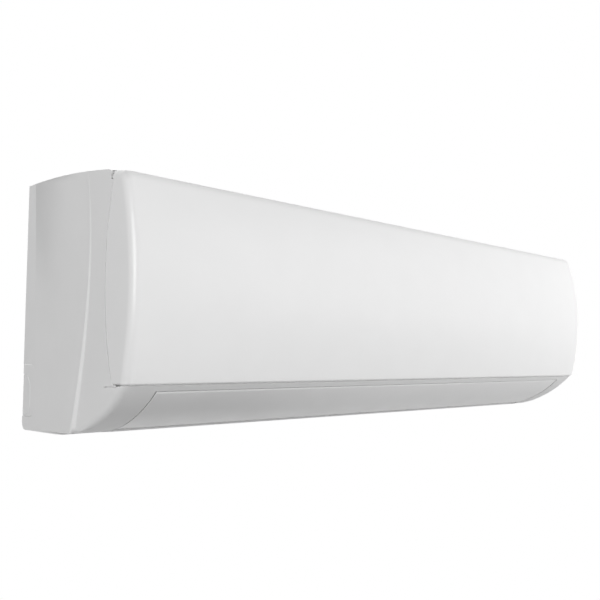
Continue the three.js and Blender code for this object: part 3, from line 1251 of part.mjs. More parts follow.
/** Flat round stepper motor with an ear each side: its socket is at the origin, its body below and behind. */
function stepperMotor(pin) {
  const ear = STEPPER_RADIUS + 7;
  const body = rodZ(0, STEPPER_OFFSET, STEPPER_RADIUS, -STEPPER_LENGTH, 0, 14);
  const ears = alongZ(roundedRectangle(-ear, ear, STEPPER_OFFSET - 3.5, STEPPER_OFFSET + 3.5, 3.4, 1), -1, 0);
  const rear = STEPPER_OFFSET + STEPPER_RADIUS;
  const plug = block(-7, 7, rear - 3, rear + 3, -STEPPER_LENGTH + 1, -2);
  const holes = [-1, 1].map((side) => rodZ(side * (ear - 3.5), STEPPER_OFFSET, 2.1, -3, 1, 6));
  return cut(join(body, ears, plug), ...holes, rodZ(0, 0, pin + RUN, -4, 1, 8));
}

// ---------------------------------------------------------------- vanes

/** A vane in its own frame: Y to the rear from its pivot, Z up from the duct floor. */
function vane() {
  const y = (distance) => distance - VANE_PIVOT;
  const clear = SCROLL_START + 1;
  const fanHeight = fanToFloor;
  const start = Math.acos((fanAlongFloor - VANE_REAR) / clear);
  const end = Math.asin((fanHeight - VANE_HEIGHT) / clear);
  const rearEdge = Array.from({ length: 4 }, (_, i) => {
    const angle = start + ((end - start) * i) / 3;
    return point(y(fanAlongFloor - clear * Math.cos(angle)), fanHeight - clear * Math.sin(angle));
  });
  const outline = [
    point(y(VANE_FRONT), 1), point(y(LINK_REACH), 1),
    point(y(LINK_REACH), LINK_CUT), point(y(VANE_REAR), LINK_CUT),
    ...rearEdge, point(y(VANE_FRONT + 3), VANE_HEIGHT), point(y(VANE_FRONT), VANE_HEIGHT - 4),
  ];
  const web = alongX(outline, -VANE_WALL / 2, VANE_WALL / 2);
  const foot = rodZ(0, 0, VANE_FOOT, 0.4, 2.4, 8);
  const arm = block(-VANE_PIN, VANE_PIN, 0, CRANK + 1, 0.4, 2.4);
  const pin = rodZ(0, 0, VANE_PIN, -VANE_PIN_LENGTH, 1, 8);
  return join(web, foot, arm, pin, rodZ(0, CRANK, CRANK_PIN, 1, LINK_HEIGHT + LINK_THICKNESS + 1, 6));
}

/** The bar that joins a group's cranks, in the frame of its first crank pin. */
function linkBar(count) {
  const half = LINK_WIDTH / 2;
  const reach = half + 2;
  const length = (count - 1) * VANE_PITCH;
  const outline = roundedRectangle(-reach, length + reach, -half, half, half - 0.2, 2);
  const holes = Array.from({ length: count }, (_, i) =>
    circle({ y: i * VANE_PITCH, z: 0 }, CRANK_PIN + RUN, 6));
  return alongZ(outline, 0, LINK_THICKNESS, holes);
}

// ---------------------------------------------------------------- mounting plate and pipes

function wallPlate() {
  const half = PLATE_WIDTH / 2;
  const foot = BOTTOM + PLATE_FOOT;
  const top = plateTop;
  const ribRows = [foot + 40, top - 46];
  const holes = [foot + 28, (foot + top) / 2, top - 34].flatMap((z) => [-0.8, 0.8].map((f) =>
    circle({ y: f * half, z }, PLATE_HOLE, 6)));
  const openings = [-1, 1].map((side) => {
    const middle = (side * half) / 4;
    return roundedRectangle(middle - PLATE_WINDOW / 2, middle + PLATE_WINDOW / 2, foot + 50, top - 60, 8, 2);
  });
  const outline = roundedRectangle(-half, half, foot, top, 8, 2);
  const sheetMetal = alongY(outline, -PLATE_SHEET, 0, [...holes, ...openings]);
  const rib = (z, inset, rear) => block(PLATE_INSET + inset - half, half - PLATE_INSET - inset,
    inset - PLATE_RIB, rear, z - PLATE_RIB_WIDTH / 2 + inset, z + PLATE_RIB_WIDTH / 2 - inset);
  const flange = (z) => block(8 - half, half - 8, -PLATE_FLANGE, 0, z, z + PLATE_SHEET);
  let body = join(sheetMetal, ...ribRows.map((z) => rib(z, 0, -PLATE_SHEET / 2)));
  body = cut(body, ...ribRows.map((z) => rib(z, PLATE_SHEET, BREAK)));
  body = join(body, flange(top - PLATE_SHEET), flange(foot));
  const lip = backInside - HOOK_PLAY;
  for (const side of [-1, 1]) {
    const x = (side * HOOK_SPACING) / 2;
    const [from, to] = [x - HOOK_WIDTH / 2, x + HOOK_WIDTH / 2];
    body = body.add(block(from, to, lip - PLATE_SHEET, -PLATE_SHEET / 2, tongueTop - PLATE_SHEET, tongueTop));
    body = body.add(block(from, to, lip - PLATE_SHEET, lip, tongueTop - PLATE_SHEET, tongueTop + HOOK_LIP));
  }
  return body;
}

const pipeStart = COIL_RIGHT + COIL_END_WALL + 2 * GAP;

/** From the rear slab, over the duct's end, down behind the motor and along the channel. */
function pipe(start, x, z, radius, sides) {
  const bend = radius * 2 + 6;
  return tube(rounded([
    new THREE.Vector3(pipeStart, start.x, start.y), new THREE.Vector3(x, start.x, start.y),
    new THREE.Vector3(x, -PIPE_DROP, start.y - 45), new THREE.Vector3(x, -PIPE_DROP, z),
    new THREE.Vector3(x - 2.4 * bend, -PIPE_DEPTH, z), new THREE.Vector3(PIPE_END, -PIPE_DEPTH, z),
  ], bend), radius, sides);
}

/** Six-sided nut round the end of a pipe, with a round collar. */
function flareNut(z, radius) {
  const centre = { y: -PIPE_DEPTH, z };
  const across = radius * 1.15 + 5.4;
  const nut = rodX(centre, across, PIPE_END - 5, PIPE_END + 9, 6);
  const collar = rodX(centre, across * 0.8, PIPE_END + 8, PIPE_END + 14, 12);
  return join(nut, collar).subtract(rodX(centre, radius + GAP, PIPE_END - 6, PIPE_END + 15, 12));
}

function pipeClamp() {
  const rear = -BACK_DEPTH + GAP;
  const front = rear + 2.2;
  let body = block(CLAMP_LEFT, CLAMP_LEFT + CLAMP_WIDTH, rear, front, BOTTOM + 8, CHANNEL_TOP + 8);
  for (const x of [CLAMP_LEFT, CLAMP_LEFT + CLAMP_WIDTH - 2.5]) {
    body = body.add(block(x, x + 2.5, -PIPE_DEPTH, rear + 1, BOTTOM + 12, CHANNEL_TOP - 5));
  }
  return cut(body, rodX({ y: -PIPE_DEPTH, z: BOTTOM + GAS_HEIGHT }, GAS_RADIUS + GAP, 0, HALF, 14),
    rodX({ y: -PIPE_DEPTH, z: BOTTOM + LIQUID_HEIGHT }, LIQUID_RADIUS + GAP, 0, HALF, 12));
}

/** The two break-out pieces in an end of the case. */
function knockout(side, inner) {
  const outside = HALF - 0.15;
  const [from, to] = side < 0 ? [-outside, -outside + KNOCKOUT_WALL] : [outside - KNOCKOUT_WALL, outside];
  if (inner) return alongX(innerKnockoutOutline(0), from, to);
  return alongX(knockoutOutline(0), from, to).subtract(alongX(innerKnockoutOutline(GAP), from - 1, to + 1));
}

// ---------------------------------------------------------------- filters

function filterPath() {
  const crown = TOP_RADIUS - CASE_WALL - FILTER_CLEAR;
  const front = -FRAME_DEPTH - GAP - FILTER_WALL;
  const centreY = front + FILTER_BEND;
  const centre = { y: centreY, z: TOP_CENTRE.z + Math.sqrt((crown - FILTER_BEND) ** 2 - centreY ** 2) };
  const meet = angleFrom(TOP_CENTRE, centre);
  const end = Math.PI / 2 + Math.asin(FILTER_REAR / crown);
  return [
    point(front, windowFoot + 1), point(front, windowFoot + 20),
    ...arc(centre, FILTER_BEND, Math.PI, meet, 4), ...arc(TOP_CENTRE, crown, meet, end, 2).slice(1),
  ];
}

function airFilter([left, right]) {
  const [from, to] = [left + 0.8, right - 0.8];
  const path = filterPath();
  const frame = alongX(sheet(path, FILTER_WALL), from, to);
  const net = alongX(sheet(path, FILTER_NET), from, to);
  const last = path[path.length - 1];
  const upright = (x) => block(x, x + FILTER_BAR, -DEPTH, 0, BOTTOM, TOP);
  const middle = (from + to) / 2;
  const pitch = (windowHead - windowFoot) / FILTER_ROWS;
  const rows = Array.from({ length: FILTER_ROWS }, (_, i) => windowFoot + i * pitch);
  const bars = [upright(from), upright(middle - FILTER_BAR / 2), upright(to - FILTER_BAR),
    ...rows.map((z) => block(from, to, -DEPTH, -FRAME_DEPTH, z, z + FILTER_BAR)),
    ...[last.x - 6, last.x - 56].map((y) => block(from, to, y, y + 8, 0, TOP))];
  const tab = block(middle - FILTER_TAB / 2, middle + FILTER_TAB / 2, path[0].x, path[0].x + FILTER_WALL,
    windowFoot - 7, windowFoot + 2);
  return join(net, frame.intersect(wasm.Manifold.union(bars)), tab);
}

// ---------------------------------------------------------------- control box and small parts

const coverFront = frameBack + GAP;
const coverBack = coverFront + BOX_WALL;
const boxFront = coverBack + GAP;
const boxFoot = BOTTOM + BOX_FOOT;
const boxHead = TOP - BOX_HEAD_INSET;
const boxBack = bedFront - BOX_MOTOR_GAP;
const boardBack = boxBack - BOX_WALL - POST_LENGTH - GAP;

function controlBox() {
  const whole = block(BOX_LEFT, BOX_RIGHT, boxFront, boxBack, boxFoot, boxHead);
  const inside = block(BOX_LEFT + BOX_WALL, BOX_RIGHT - BOX_WALL, boxFront - 1, boxBack - BOX_WALL,
    boxFoot + BOX_WALL, boxHead - BOX_WALL);
  const posts = [[BOX_LEFT + 12, boxFoot + 38], [BOX_RIGHT - 12, boxFoot + 38], [BOX_LEFT + 12, boxHead - 14],
    [BOX_RIGHT - 12, boxHead - 14]].map(([x, z]) =>
    rodY(x, z, 3, boxBack - BOX_WALL - POST_LENGTH, boxBack - 1, 10));
  const inlet = rodX({ y: boxBack - 12, z: boxFoot + 14 }, 7, BOX_RIGHT - BOX_WALL - 1, BOX_RIGHT + 1, 14);
  return cut(join(whole.subtract(inside), ...posts), inlet);
}

function controlBoxCover() {
  const outline = roundedRectangle(BOX_LEFT, BOX_RIGHT, boxFoot, boxHead, 3, 2);
  const vents = Array.from({ length: 6 }, (_, i) =>
    roundedRectangle(BOX_LEFT + 20, BOX_RIGHT - 20, boxHead - 22 - 8 * i, boxHead - 19 - 8 * i, 1.4, 1));
  return alongY(outline, coverFront, coverBack, vents);
}

/** Board with its transformer, relays, capacitors and connectors. */
function circuitBoard() {
  const back = boardBack;
  const face = back - BOARD_WALL;
  const [left, right, low, high] = [BOX_LEFT + 5, BOX_RIGHT - 5, boxFoot + 30, boxHead - 6];
  const board = alongY(roundedRectangle(left, right, low, high, 2, 1), face, back);
  const parts = [
    block(left + 8, left + 36, face - 22, face + 0.5, low + 12, low + 44),
    block(right - 24, right - 6, face - 14, face + 0.5, low + 10, low + 26),
    block(right - 24, right - 6, face - 14, face + 0.5, low + 32, low + 48),
    block(left + 10, left + 50, face - 3, face + 0.5, high - 52, high - 32),
    block(left + 8, left + 30, face - 8, face + 0.5, high - 12, high - 5),
    block(right - 34, right - 8, face - 8, face + 0.5, high - 12, high - 5),
    rodY(right - 16, low + 66, 9, face - 25, face + 0.5, 14),
    rodY(left + 20, low + 60, 6, face - 16, face + 0.5, 12),
  ];
  return join(board, ...parts);
}

function terminalBlock() {
  const [left, right] = [BOX_LEFT + 18, BOX_RIGHT - 18];
  const low = boxFoot + BOX_WALL + GAP;
  const base = block(left, right, boxFront + 8, boxFront + 28, low, low + 16);
  const pitch = (right - left) / TERMINALS;
  const walls = Array.from({ length: TERMINALS + 1 }, (_, i) => {
    const x = Math.min(Math.max(left + i * pitch - 0.8, left), right - 1.6);
    return block(x, x + 1.6, boxFront + 4, boxFront + 9, low, low + 16);
  });
  const screws = Array.from({ length: TERMINALS }, (_, i) =>
    rodY(left + (i + 0.5) * pitch, low + 8, 3.4, boxFront + 6, boxFront + 9, 10));
  return join(base, ...walls, ...screws);
}

function wiringCover() {
  const [left, right, low, high] = [BOX_LEFT + 4, BOX_RIGHT - 4, windowFoot + 2, windowHead - 36];
  const middle = (left + right) / 2;
  const face = -FRAME_DEPTH - GAP;
  const plate = alongY(roundedRectangle(left, right, low, high, 4, 3), face - 2.2, face);
  const ridge = roundedRectangle(middle - 14, middle + 14, low + 5, low + 10, 2.4, 2);
  const grip = alongY(ridge, face - 4, face - 1);
  const tongue = block(middle - 10, middle + 10, face - 1, frameBack - GAP, high - 8, high - 6);
  return join(plate, grip, tongue);
}

/** Lamp and receiver board on the frame, behind the panel. */
function displayBoard() {
  const face = -FRAME_DEPTH - GAP;
  const middle = PANEL_FOOT + 11;
  const outline = roundedRectangle(BOX_LEFT + 12, BOX_RIGHT - 16, middle - 8, middle + 8, 2, 2);
  const board = alongY(outline, face - BOARD_WALL, face);
  const eye = rodY(BOX_RIGHT - 26, middle, 3.4, face - 6, face - 1, 12);
  const lamps = [0, 1, 2].map((i) => rodY(BOX_LEFT + 20 + 9 * i, middle, 1.6, face - 4, face - 1, 8));
  return join(board, eye, ...lamps);
}

function roomSensor() {
  const right = BOX_LEFT - GAP;
  const holder = block(right - 3.5, right, boxFront + 6, boxFront + 16, boxHead - 50, boxHead - 36);
  return holder.add(rodZ(right - 1.8, boxFront + 11, 1.7, boxHead - 37, boxHead - 28, 10));
}

const coilSensor = () => {
  const place = SLABS.coil_rear.at(66, 8.5);
  return rodX({ y: place.x, z: place.y }, 3, pipeStart, pipeStart + 10, 10);
};

// ---------------------------------------------------------------- the unit

piece('outer_case', outerCase(), WHITE_ABS);
piece('front_panel', frontPanel(), WHITE_PANEL);
piece('air_flap', airFlap(), WHITE_PANEL);
piece('rear_housing', rearHousing(), HOUSING_PS);
piece('drain_tray', drainTray(), HOUSING_PS);
piece('drain_plug', drainPlug(), RUBBER);
for (const [name, part] of Object.entries(SLABS)) piece(name, finBlock(part), ALUMINIUM);
piece('coil_end_left', coilEnd(-1), ZINC);
piece('coil_end_right', coilEnd(1), ZINC);
piece('coil_sensor', coilSensor(), COPPER);

piece('fan_wheel', fanWheel(), BLACK_FAN);
piece('fan_stub_shaft', rodX(FAN, SHAFT_RADIUS, HOUSING_LEFT - 8, FAN_LEFT + 9.5, 12), STEEL);
piece('fan_bearing', ring(HOUSING_LEFT - 2, DUCT_LEFT + 2, BEARING_RADIUS, SHAFT_RADIUS + GAP, 14), RUBBER);
piece('motor_shaft', rodX(FAN, SHAFT_RADIUS, FAN_RIGHT - FAN_DISC - 3, shaftEnd, 12), STEEL);
piece('fan_motor', fanMotor(), ZINC);
piece('motor_ring_inner', ring(...innerRing, MOTOR_RING, RING_BORE + GAP, 14), RUBBER);
piece('motor_ring_outer', ring(...outerRing, MOTOR_RING, RING_BORE + GAP, 14), RUBBER);
piece('motor_clamp', motorClamp(), HOUSING_PS);

const group = VANE_COUNT / 2;
vanePlaces.forEach((x, i) => {
  const place = floorPoint(VANE_PIVOT);
  const name = `vane_${String(i + 1).padStart(2, '0')}`;
  piece(name, vane(), GREY_VANE, { x, y: place.x, z: place.y, tilt: FLOOR });
});
['left', 'right'].forEach((name, i) => {
  const x = vanePlaces[i * group];
  const pin = floorPoint(VANE_PIVOT + CRANK, LINK_HEIGHT);
  piece(`vane_link_${name}`, linkBar(group), GREY_VANE, { x, y: pin.x, z: pin.y, tilt: FLOOR });
  const motor = floorPoint(VANE_PIVOT, -SCROLL_WALL - GAP);
  const body = stepperMotor(VANE_PIN);
  piece(`vane_motor_${name}`, body, ZINC, { x, y: motor.x, z: motor.y, tilt: FLOOR });
});

const flapMotor = geometryOf(stepperMotor(FLAP_PIN)).rotateY(-Math.PI / 2);
flapMotor.rotateX(Math.PI / 2 - 0.25).translate(FLAP_OPENING + CASE_WALL + GAP, PIVOT.y, PIVOT.z);
piece('flap_motor', flapMotor, ZINC);

piece('wall_plate', wallPlate(), ZINC);
const gasStart = SLABS.coil_rear.at(7.5, 0);
const liquidStart = SLABS.coil_rear.at(38.8, 7);
piece('gas_pipe', pipe(gasStart, gasX, BOTTOM + GAS_HEIGHT, GAS_RADIUS, 9), COPPER);
piece('liquid_pipe', pipe(liquidStart, liquidX, BOTTOM + LIQUID_HEIGHT, LIQUID_RADIUS, 7), COPPER);
piece('gas_flare_nut', flareNut(BOTTOM + GAS_HEIGHT, GAS_RADIUS), BRASS);
piece('liquid_flare_nut', flareNut(BOTTOM + LIQUID_HEIGHT, LIQUID_RADIUS), BRASS);
piece('pipe_clamp', pipeClamp(), HOUSING_PS);
for (const [name, side] of [['left', -1], ['right', 1]]) {
  piece(`pipe_knockout_${name}_outer`, knockout(side, false), WHITE_ABS);
  piece(`pipe_knockout_${name}_inner`, knockout(side, true), WHITE_ABS);
}

piece('air_filter_left', airFilter(windows[0]), FILTER_PP);
piece('air_filter_right', airFilter(windows[1]), FILTER_PP);
piece('control_box', controlBox(), HOUSING_PS);
piece('control_box_cover', controlBoxCover(), HOUSING_PS);
piece('circuit_board', circuitBoard(), BOARD_GREEN);
piece('terminal_block', terminalBlock(), TERMINAL);
piece('wiring_cover', wiringCover(), WHITE_ABS);
piece('display_board', displayBoard(), BOARD_GREEN);
piece('aux_button', auxButton(), WHITE_ABS);
piece('room_sensor', roomSensor(), TERMINAL);
screwPlaces().forEach((x, i) => piece(`case_screw_${['left', 'centre', 'right'][i]}`, caseScrew(x), STEEL));

export default unit;
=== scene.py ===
"""Looks of a wall-hung mini split indoor unit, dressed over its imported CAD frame.

Lengths in the classes are millimetres, but for the studio's, and become metres when a
mesh is made. The frame has +X to the viewer's right, the front faces -Y, the wall is
y = 0 and +Z is up. The end faces, the chin, the panel and the flap are surfaces worked
out with numpy: the section is a chain of arcs in (y, z), and each of them carries its
part of the section along X. The rest of the case and the other nodes keep the CAD's mesh.
"""

import json
import logging
import math
from collections.abc import Iterator
from contextlib import contextmanager
from dataclasses import dataclass
from enum import Enum

import bmesh
import bpy
import numpy as np
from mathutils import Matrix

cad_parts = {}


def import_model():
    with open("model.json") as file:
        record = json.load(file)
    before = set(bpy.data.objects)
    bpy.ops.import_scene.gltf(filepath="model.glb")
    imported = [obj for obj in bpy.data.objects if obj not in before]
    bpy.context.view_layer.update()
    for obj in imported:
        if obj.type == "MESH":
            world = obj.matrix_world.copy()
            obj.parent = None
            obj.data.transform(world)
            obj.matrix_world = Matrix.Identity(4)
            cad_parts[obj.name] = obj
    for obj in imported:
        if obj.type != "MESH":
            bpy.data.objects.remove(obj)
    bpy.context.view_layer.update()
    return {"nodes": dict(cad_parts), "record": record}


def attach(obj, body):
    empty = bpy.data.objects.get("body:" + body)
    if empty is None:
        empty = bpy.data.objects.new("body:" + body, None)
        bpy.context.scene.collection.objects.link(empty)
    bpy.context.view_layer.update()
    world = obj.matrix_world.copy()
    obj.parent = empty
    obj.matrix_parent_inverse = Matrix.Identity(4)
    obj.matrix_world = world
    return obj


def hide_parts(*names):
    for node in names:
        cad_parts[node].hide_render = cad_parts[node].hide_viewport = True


LOG = logging.getLogger("indoor_unit")
MM = 0.001

Array = np.ndarray
Curve = Array | float
Pair = tuple[float, float]
Triple = tuple[float, float, float]
Settings = dict[str | int, object]


class Side(Enum):
    """The two ends of the unit, by the sign of X."""

    LEFT = -1
    RIGHT = 1

    @property
    def label(self) -> str:
        """The side's name in lower case, as node and piece names have it."""
        return self.name.lower()


# ---------------------------------------------------------------- mesh helpers


def grid_faces(rows: int, columns: int, keep: Array | None = None) -> Array:
    """Quads of a grid of points held row by row.

    Args:
        rows: Number of rows of points.
        columns: Number of points in a row.
        keep: Truth value of each quad, (rows - 1) by (columns - 1), or None for all.

    Returns:
        An (n, 4) array of point numbers.
    """
    corner = np.arange(rows - 1)[:, None] * columns + np.arange(columns - 1)[None, :]
    quads = np.stack([corner, corner + 1, corner + columns + 1, corner + columns], axis=-1)
    return quads.reshape(-1, 4) if keep is None else quads[keep]


def band(start: float, end: float, steps: int) -> Array:
    """Evenly spaced values from start to end, one more than there are steps."""
    return start + (end - start) * np.linspace(0.0, 1.0, steps + 1)


def smooth(t: Curve) -> Curve:
    """The smooth step 3t^2 - 2t^3, with t held between 0 and 1."""
    u = np.clip(t, 0.0, 1.0)
    return u * u * (3.0 - 2.0 * u)


def polar(centre: Array | Pair, radius: Curve, angle: Curve) -> Array:
    """Points (y, z) at a radius and an angle about a centre, whole arrays at once."""
    reach = np.stack([np.cos(angle), np.sin(angle)], axis=-1)
    return np.asarray(centre, dtype=float) + np.asarray(radius, dtype=float)[..., None] * reach


def ring(centre: Array | Pair, radius: float, sides: int = 24) -> Array:
    """Points (y, z) of a closed circle with a number of sides, the last not repeated."""
    return polar(centre, radius, np.linspace(0.0, 2.0 * np.pi, sides + 1)[:-1])


def slice_at(x: float, outline: Array) -> Array:
    """An outline (y, z) as places (x, y, z) in one plane across X."""
    return np.column_stack([np.full(len(outline), x), outline])


def link_object(name: str, data: bpy.types.ID) -> bpy.types.Object:
    """Links an object at the origin to the scene.

    Args:
        name: Name of the object.
        data: The mesh, light or camera that it holds.

    Returns:
        The object.
    """
    thing = bpy.data.objects.new(name, data)
    bpy.context.scene.collection.objects.link(thing)
    return thing


def make_object(name: str, points: Array, faces: Array | list[list[int]],
                inside: Triple | None = None) -> bpy.types.Object:
    """A mesh object at the origin from points in millimetres.

    Args:
        name: Name of the object and its mesh.
        points: (n, 3) array of places.
        faces: Point numbers of each face, an (n, 4) array or a list of faces of any size.
        inside: A place behind the surface, which needs an array of faces. The faces are
            turned so that, summed over the surface, they look away from it.

    Returns:
        The object, linked to the scene and shaded smooth.
    """
    if inside is not None:
        a, b, c = (points[faces[:, k]] for k in range(3))
        outward = (a + b + c) / 3.0 - np.array(inside)
        if float(np.sum(np.cross(b - a, c - a) * outward)) < 0.0:
            faces = faces[:, ::-1]
    rows = faces.tolist() if isinstance(faces, np.ndarray) else faces
    mesh = bpy.data.meshes.new(name)
    mesh.from_pydata((points * MM).tolist(), [], rows)
    mesh.validate()
    mesh.polygons.foreach_set("use_smooth", np.ones(len(mesh.polygons), dtype=bool))
    return link_object(name, mesh)


@contextmanager
def edited(thing: bpy.types.Object) -> Iterator[bmesh.types.BMesh]:
    """Opens an object's mesh for editing and writes it back when the block ends.

    Args:
        thing: The object.

    Returns:
        A context that gives the mesh to edit.
    """
    work = bmesh.new()
    work.from_mesh(thing.data)
    yield work
    work.to_mesh(thing.data)
    work.free()


def merge_points(thing: bpy.types.Object, distance: float = 0.004) -> None:
    """Joins the points of a mesh that lie close together.

    Args:
        thing: The object.
        distance: Largest distance in millimetres.
    """
    with edited(thing) as work:
        bmesh.ops.remove_doubles(work, verts=work.verts, dist=distance * MM)
        bmesh.ops.dissolve_degenerate(work, dist=distance * MM, edges=work.edges)


def thicken(thing: bpy.types.Object, wall: float, edge: float) -> None:
    """Gives a skin its wall, inwards, and rolls the wall's edges.

    Args:
        thing: The skin.
        wall: Thickness in millimetres.
        edge: Width of the rolled edge in millimetres.
    """
    solidify = thing.modifiers.new("wall", "SOLIDIFY")
    solidify.thickness = wall * MM
    solidify.offset = -1.0
    solidify.use_even_offset = False
    solidify.use_rim = True
    roll_edges(thing, edge)


def roll_edges(thing: bpy.types.Object, edge: float, segments: int = 3,
               angle: float = 55.0) -> None:
    """Rounds every edge sharper than an angle with a small radius, as a mould does.

    Args:
        thing: The piece.
        edge: Width of the rounding in millimetres.
        segments: Facets round it.
        angle: Least angle between faces, in degrees, at which an edge is rounded.
    """
    bevel = thing.modifiers.new("rolled_edges", "BEVEL")
    bevel.width = edge * MM
    bevel.segments = segments
    bevel.limit_method = "ANGLE"
    bevel.angle_limit = math.radians(angle)
    bevel.use_clamp_overlap = True
    bevel.harden_normals = True


def sharpen(thing: bpy.types.Object, angle: float) -> None:
    """Shades a mesh smooth but for the edges sharper than an angle in degrees."""
    thing.data.polygons.foreach_set("use_smooth", np.ones(len(thing.data.polygons), dtype=bool))
    thing.data.set_sharp_from_angle(angle=math.radians(angle))


def dissolve_flat(thing: bpy.types.Object, angle: float = 1.0) -> None:
    """Joins the faces that lie in one plane.

    Args:
        thing: The object.
        angle: Largest angle between them, in degrees.
    """
    with edited(thing) as work:
        bmesh.ops.dissolve_limit(work, angle_limit=math.radians(angle), verts=work.verts,
                                 edges=work.edges)


def turn_outwards(thing: bpy.types.Object) -> None:
    """Recalculates the normals of closed parts so that they face outwards."""
    with edited(thing) as work:
        bmesh.ops.recalc_face_normals(work, faces=work.faces)


class Tubes:
    """Closed tubes gathered into one mesh."""

    def __init__(self) -> None:
        """Starts with no tubes."""
        self.points: list[Array] = []
        self.faces: list[list[int]] = []

    def add(self, loops: Array, caps: bool = True) -> None:
        """Adds a tube that runs through closed loops of points.

        Args:
            loops: (stations, sides, 3) places, each station a closed loop.
            caps: Whether each end is closed by one face.
        """
        start = sum(len(part) for part in self.points)
        stations, sides = loops.shape[:2]
        row, column = np.divmod(grid_faces(stations, sides + 1), sides + 1)
        self.faces.extend((start + row * sides + column % sides).tolist())
        if caps:
            first = np.arange(start, start + sides)
            self.faces.append(first[::-1].tolist())
            self.faces.append((first + (stations - 1) * sides).tolist())
        self.points.append(loops.reshape(-1, 3))

    def make(self, name: str, angle: float) -> bpy.types.Object:
        """Makes one object of the tubes, with its faces outwards.

        Args:
            name: Name of the object.
            angle: Angle in degrees past which an edge is shaded sharp.

        Returns:
            The object.
        """
        thing = make_object(name, np.concatenate(self.points), self.faces)
        turn_outwards(thing)
        sharpen(thing, angle)
        return thing


# ---------------------------------------------------------------- finishes


def linear(colour: str) -> tuple[float, float, float, float]:
    """Turns an sRGB colour into linear light.

    Args:
        colour: Hash sign and six hex digits.

    Returns:
        Red, green, blue and 1.
    """
    parts = np.array([int(colour[i:i + 2], 16) for i in (1, 3, 5)]) / 255.0
    value = np.where(parts <= 0.04045, parts / 12.92, ((parts + 0.055) / 1.055) ** 2.4)
    return float(value[0]), float(value[1]), float(value[2]), 1.0


def add_node(tree: bpy.types.NodeTree, kind: str, settings: Settings | None = None,
             links: Settings | None = None) -> bpy.types.Node:
    """Adds a node with its settings and links.

    Args:
        tree: The node tree.
        kind: Blender's name of the node type.
        settings: Attributes by name, or values of inputs by their name or number.
        links: Output sockets by the name or number of the input they go to.

    Returns:
        The new node.
    """
    node = tree.nodes.new(kind)
    for name, value in (settings or {}).items():
        if isinstance(name, int) or name in node.inputs:
            node.inputs[name].default_value = value
        else:
            setattr(node, name, value)
    for name, source in (links or {}).items():
        tree.links.new(source, node.inputs[name])
    return node


# Numbers of the colour sockets of a mix node, whose names repeat for each data type.
MIX_A, MIX_B, MIX_RESULT = 6, 7, 2
# A wave texture draws its lines 0.314 of a unit apart; this scale spreads them to a unit.
WAVE_SCALE = 0.314


class Pattern(Enum):
    """What is worked into a surface besides its fine grain."""

    PLAIN = "plain"
    SPANGLE = "spangle"
    FINS = "fins"
    NET = "net"
    DRAWN = "drawn"
    TRACKS = "tracks"


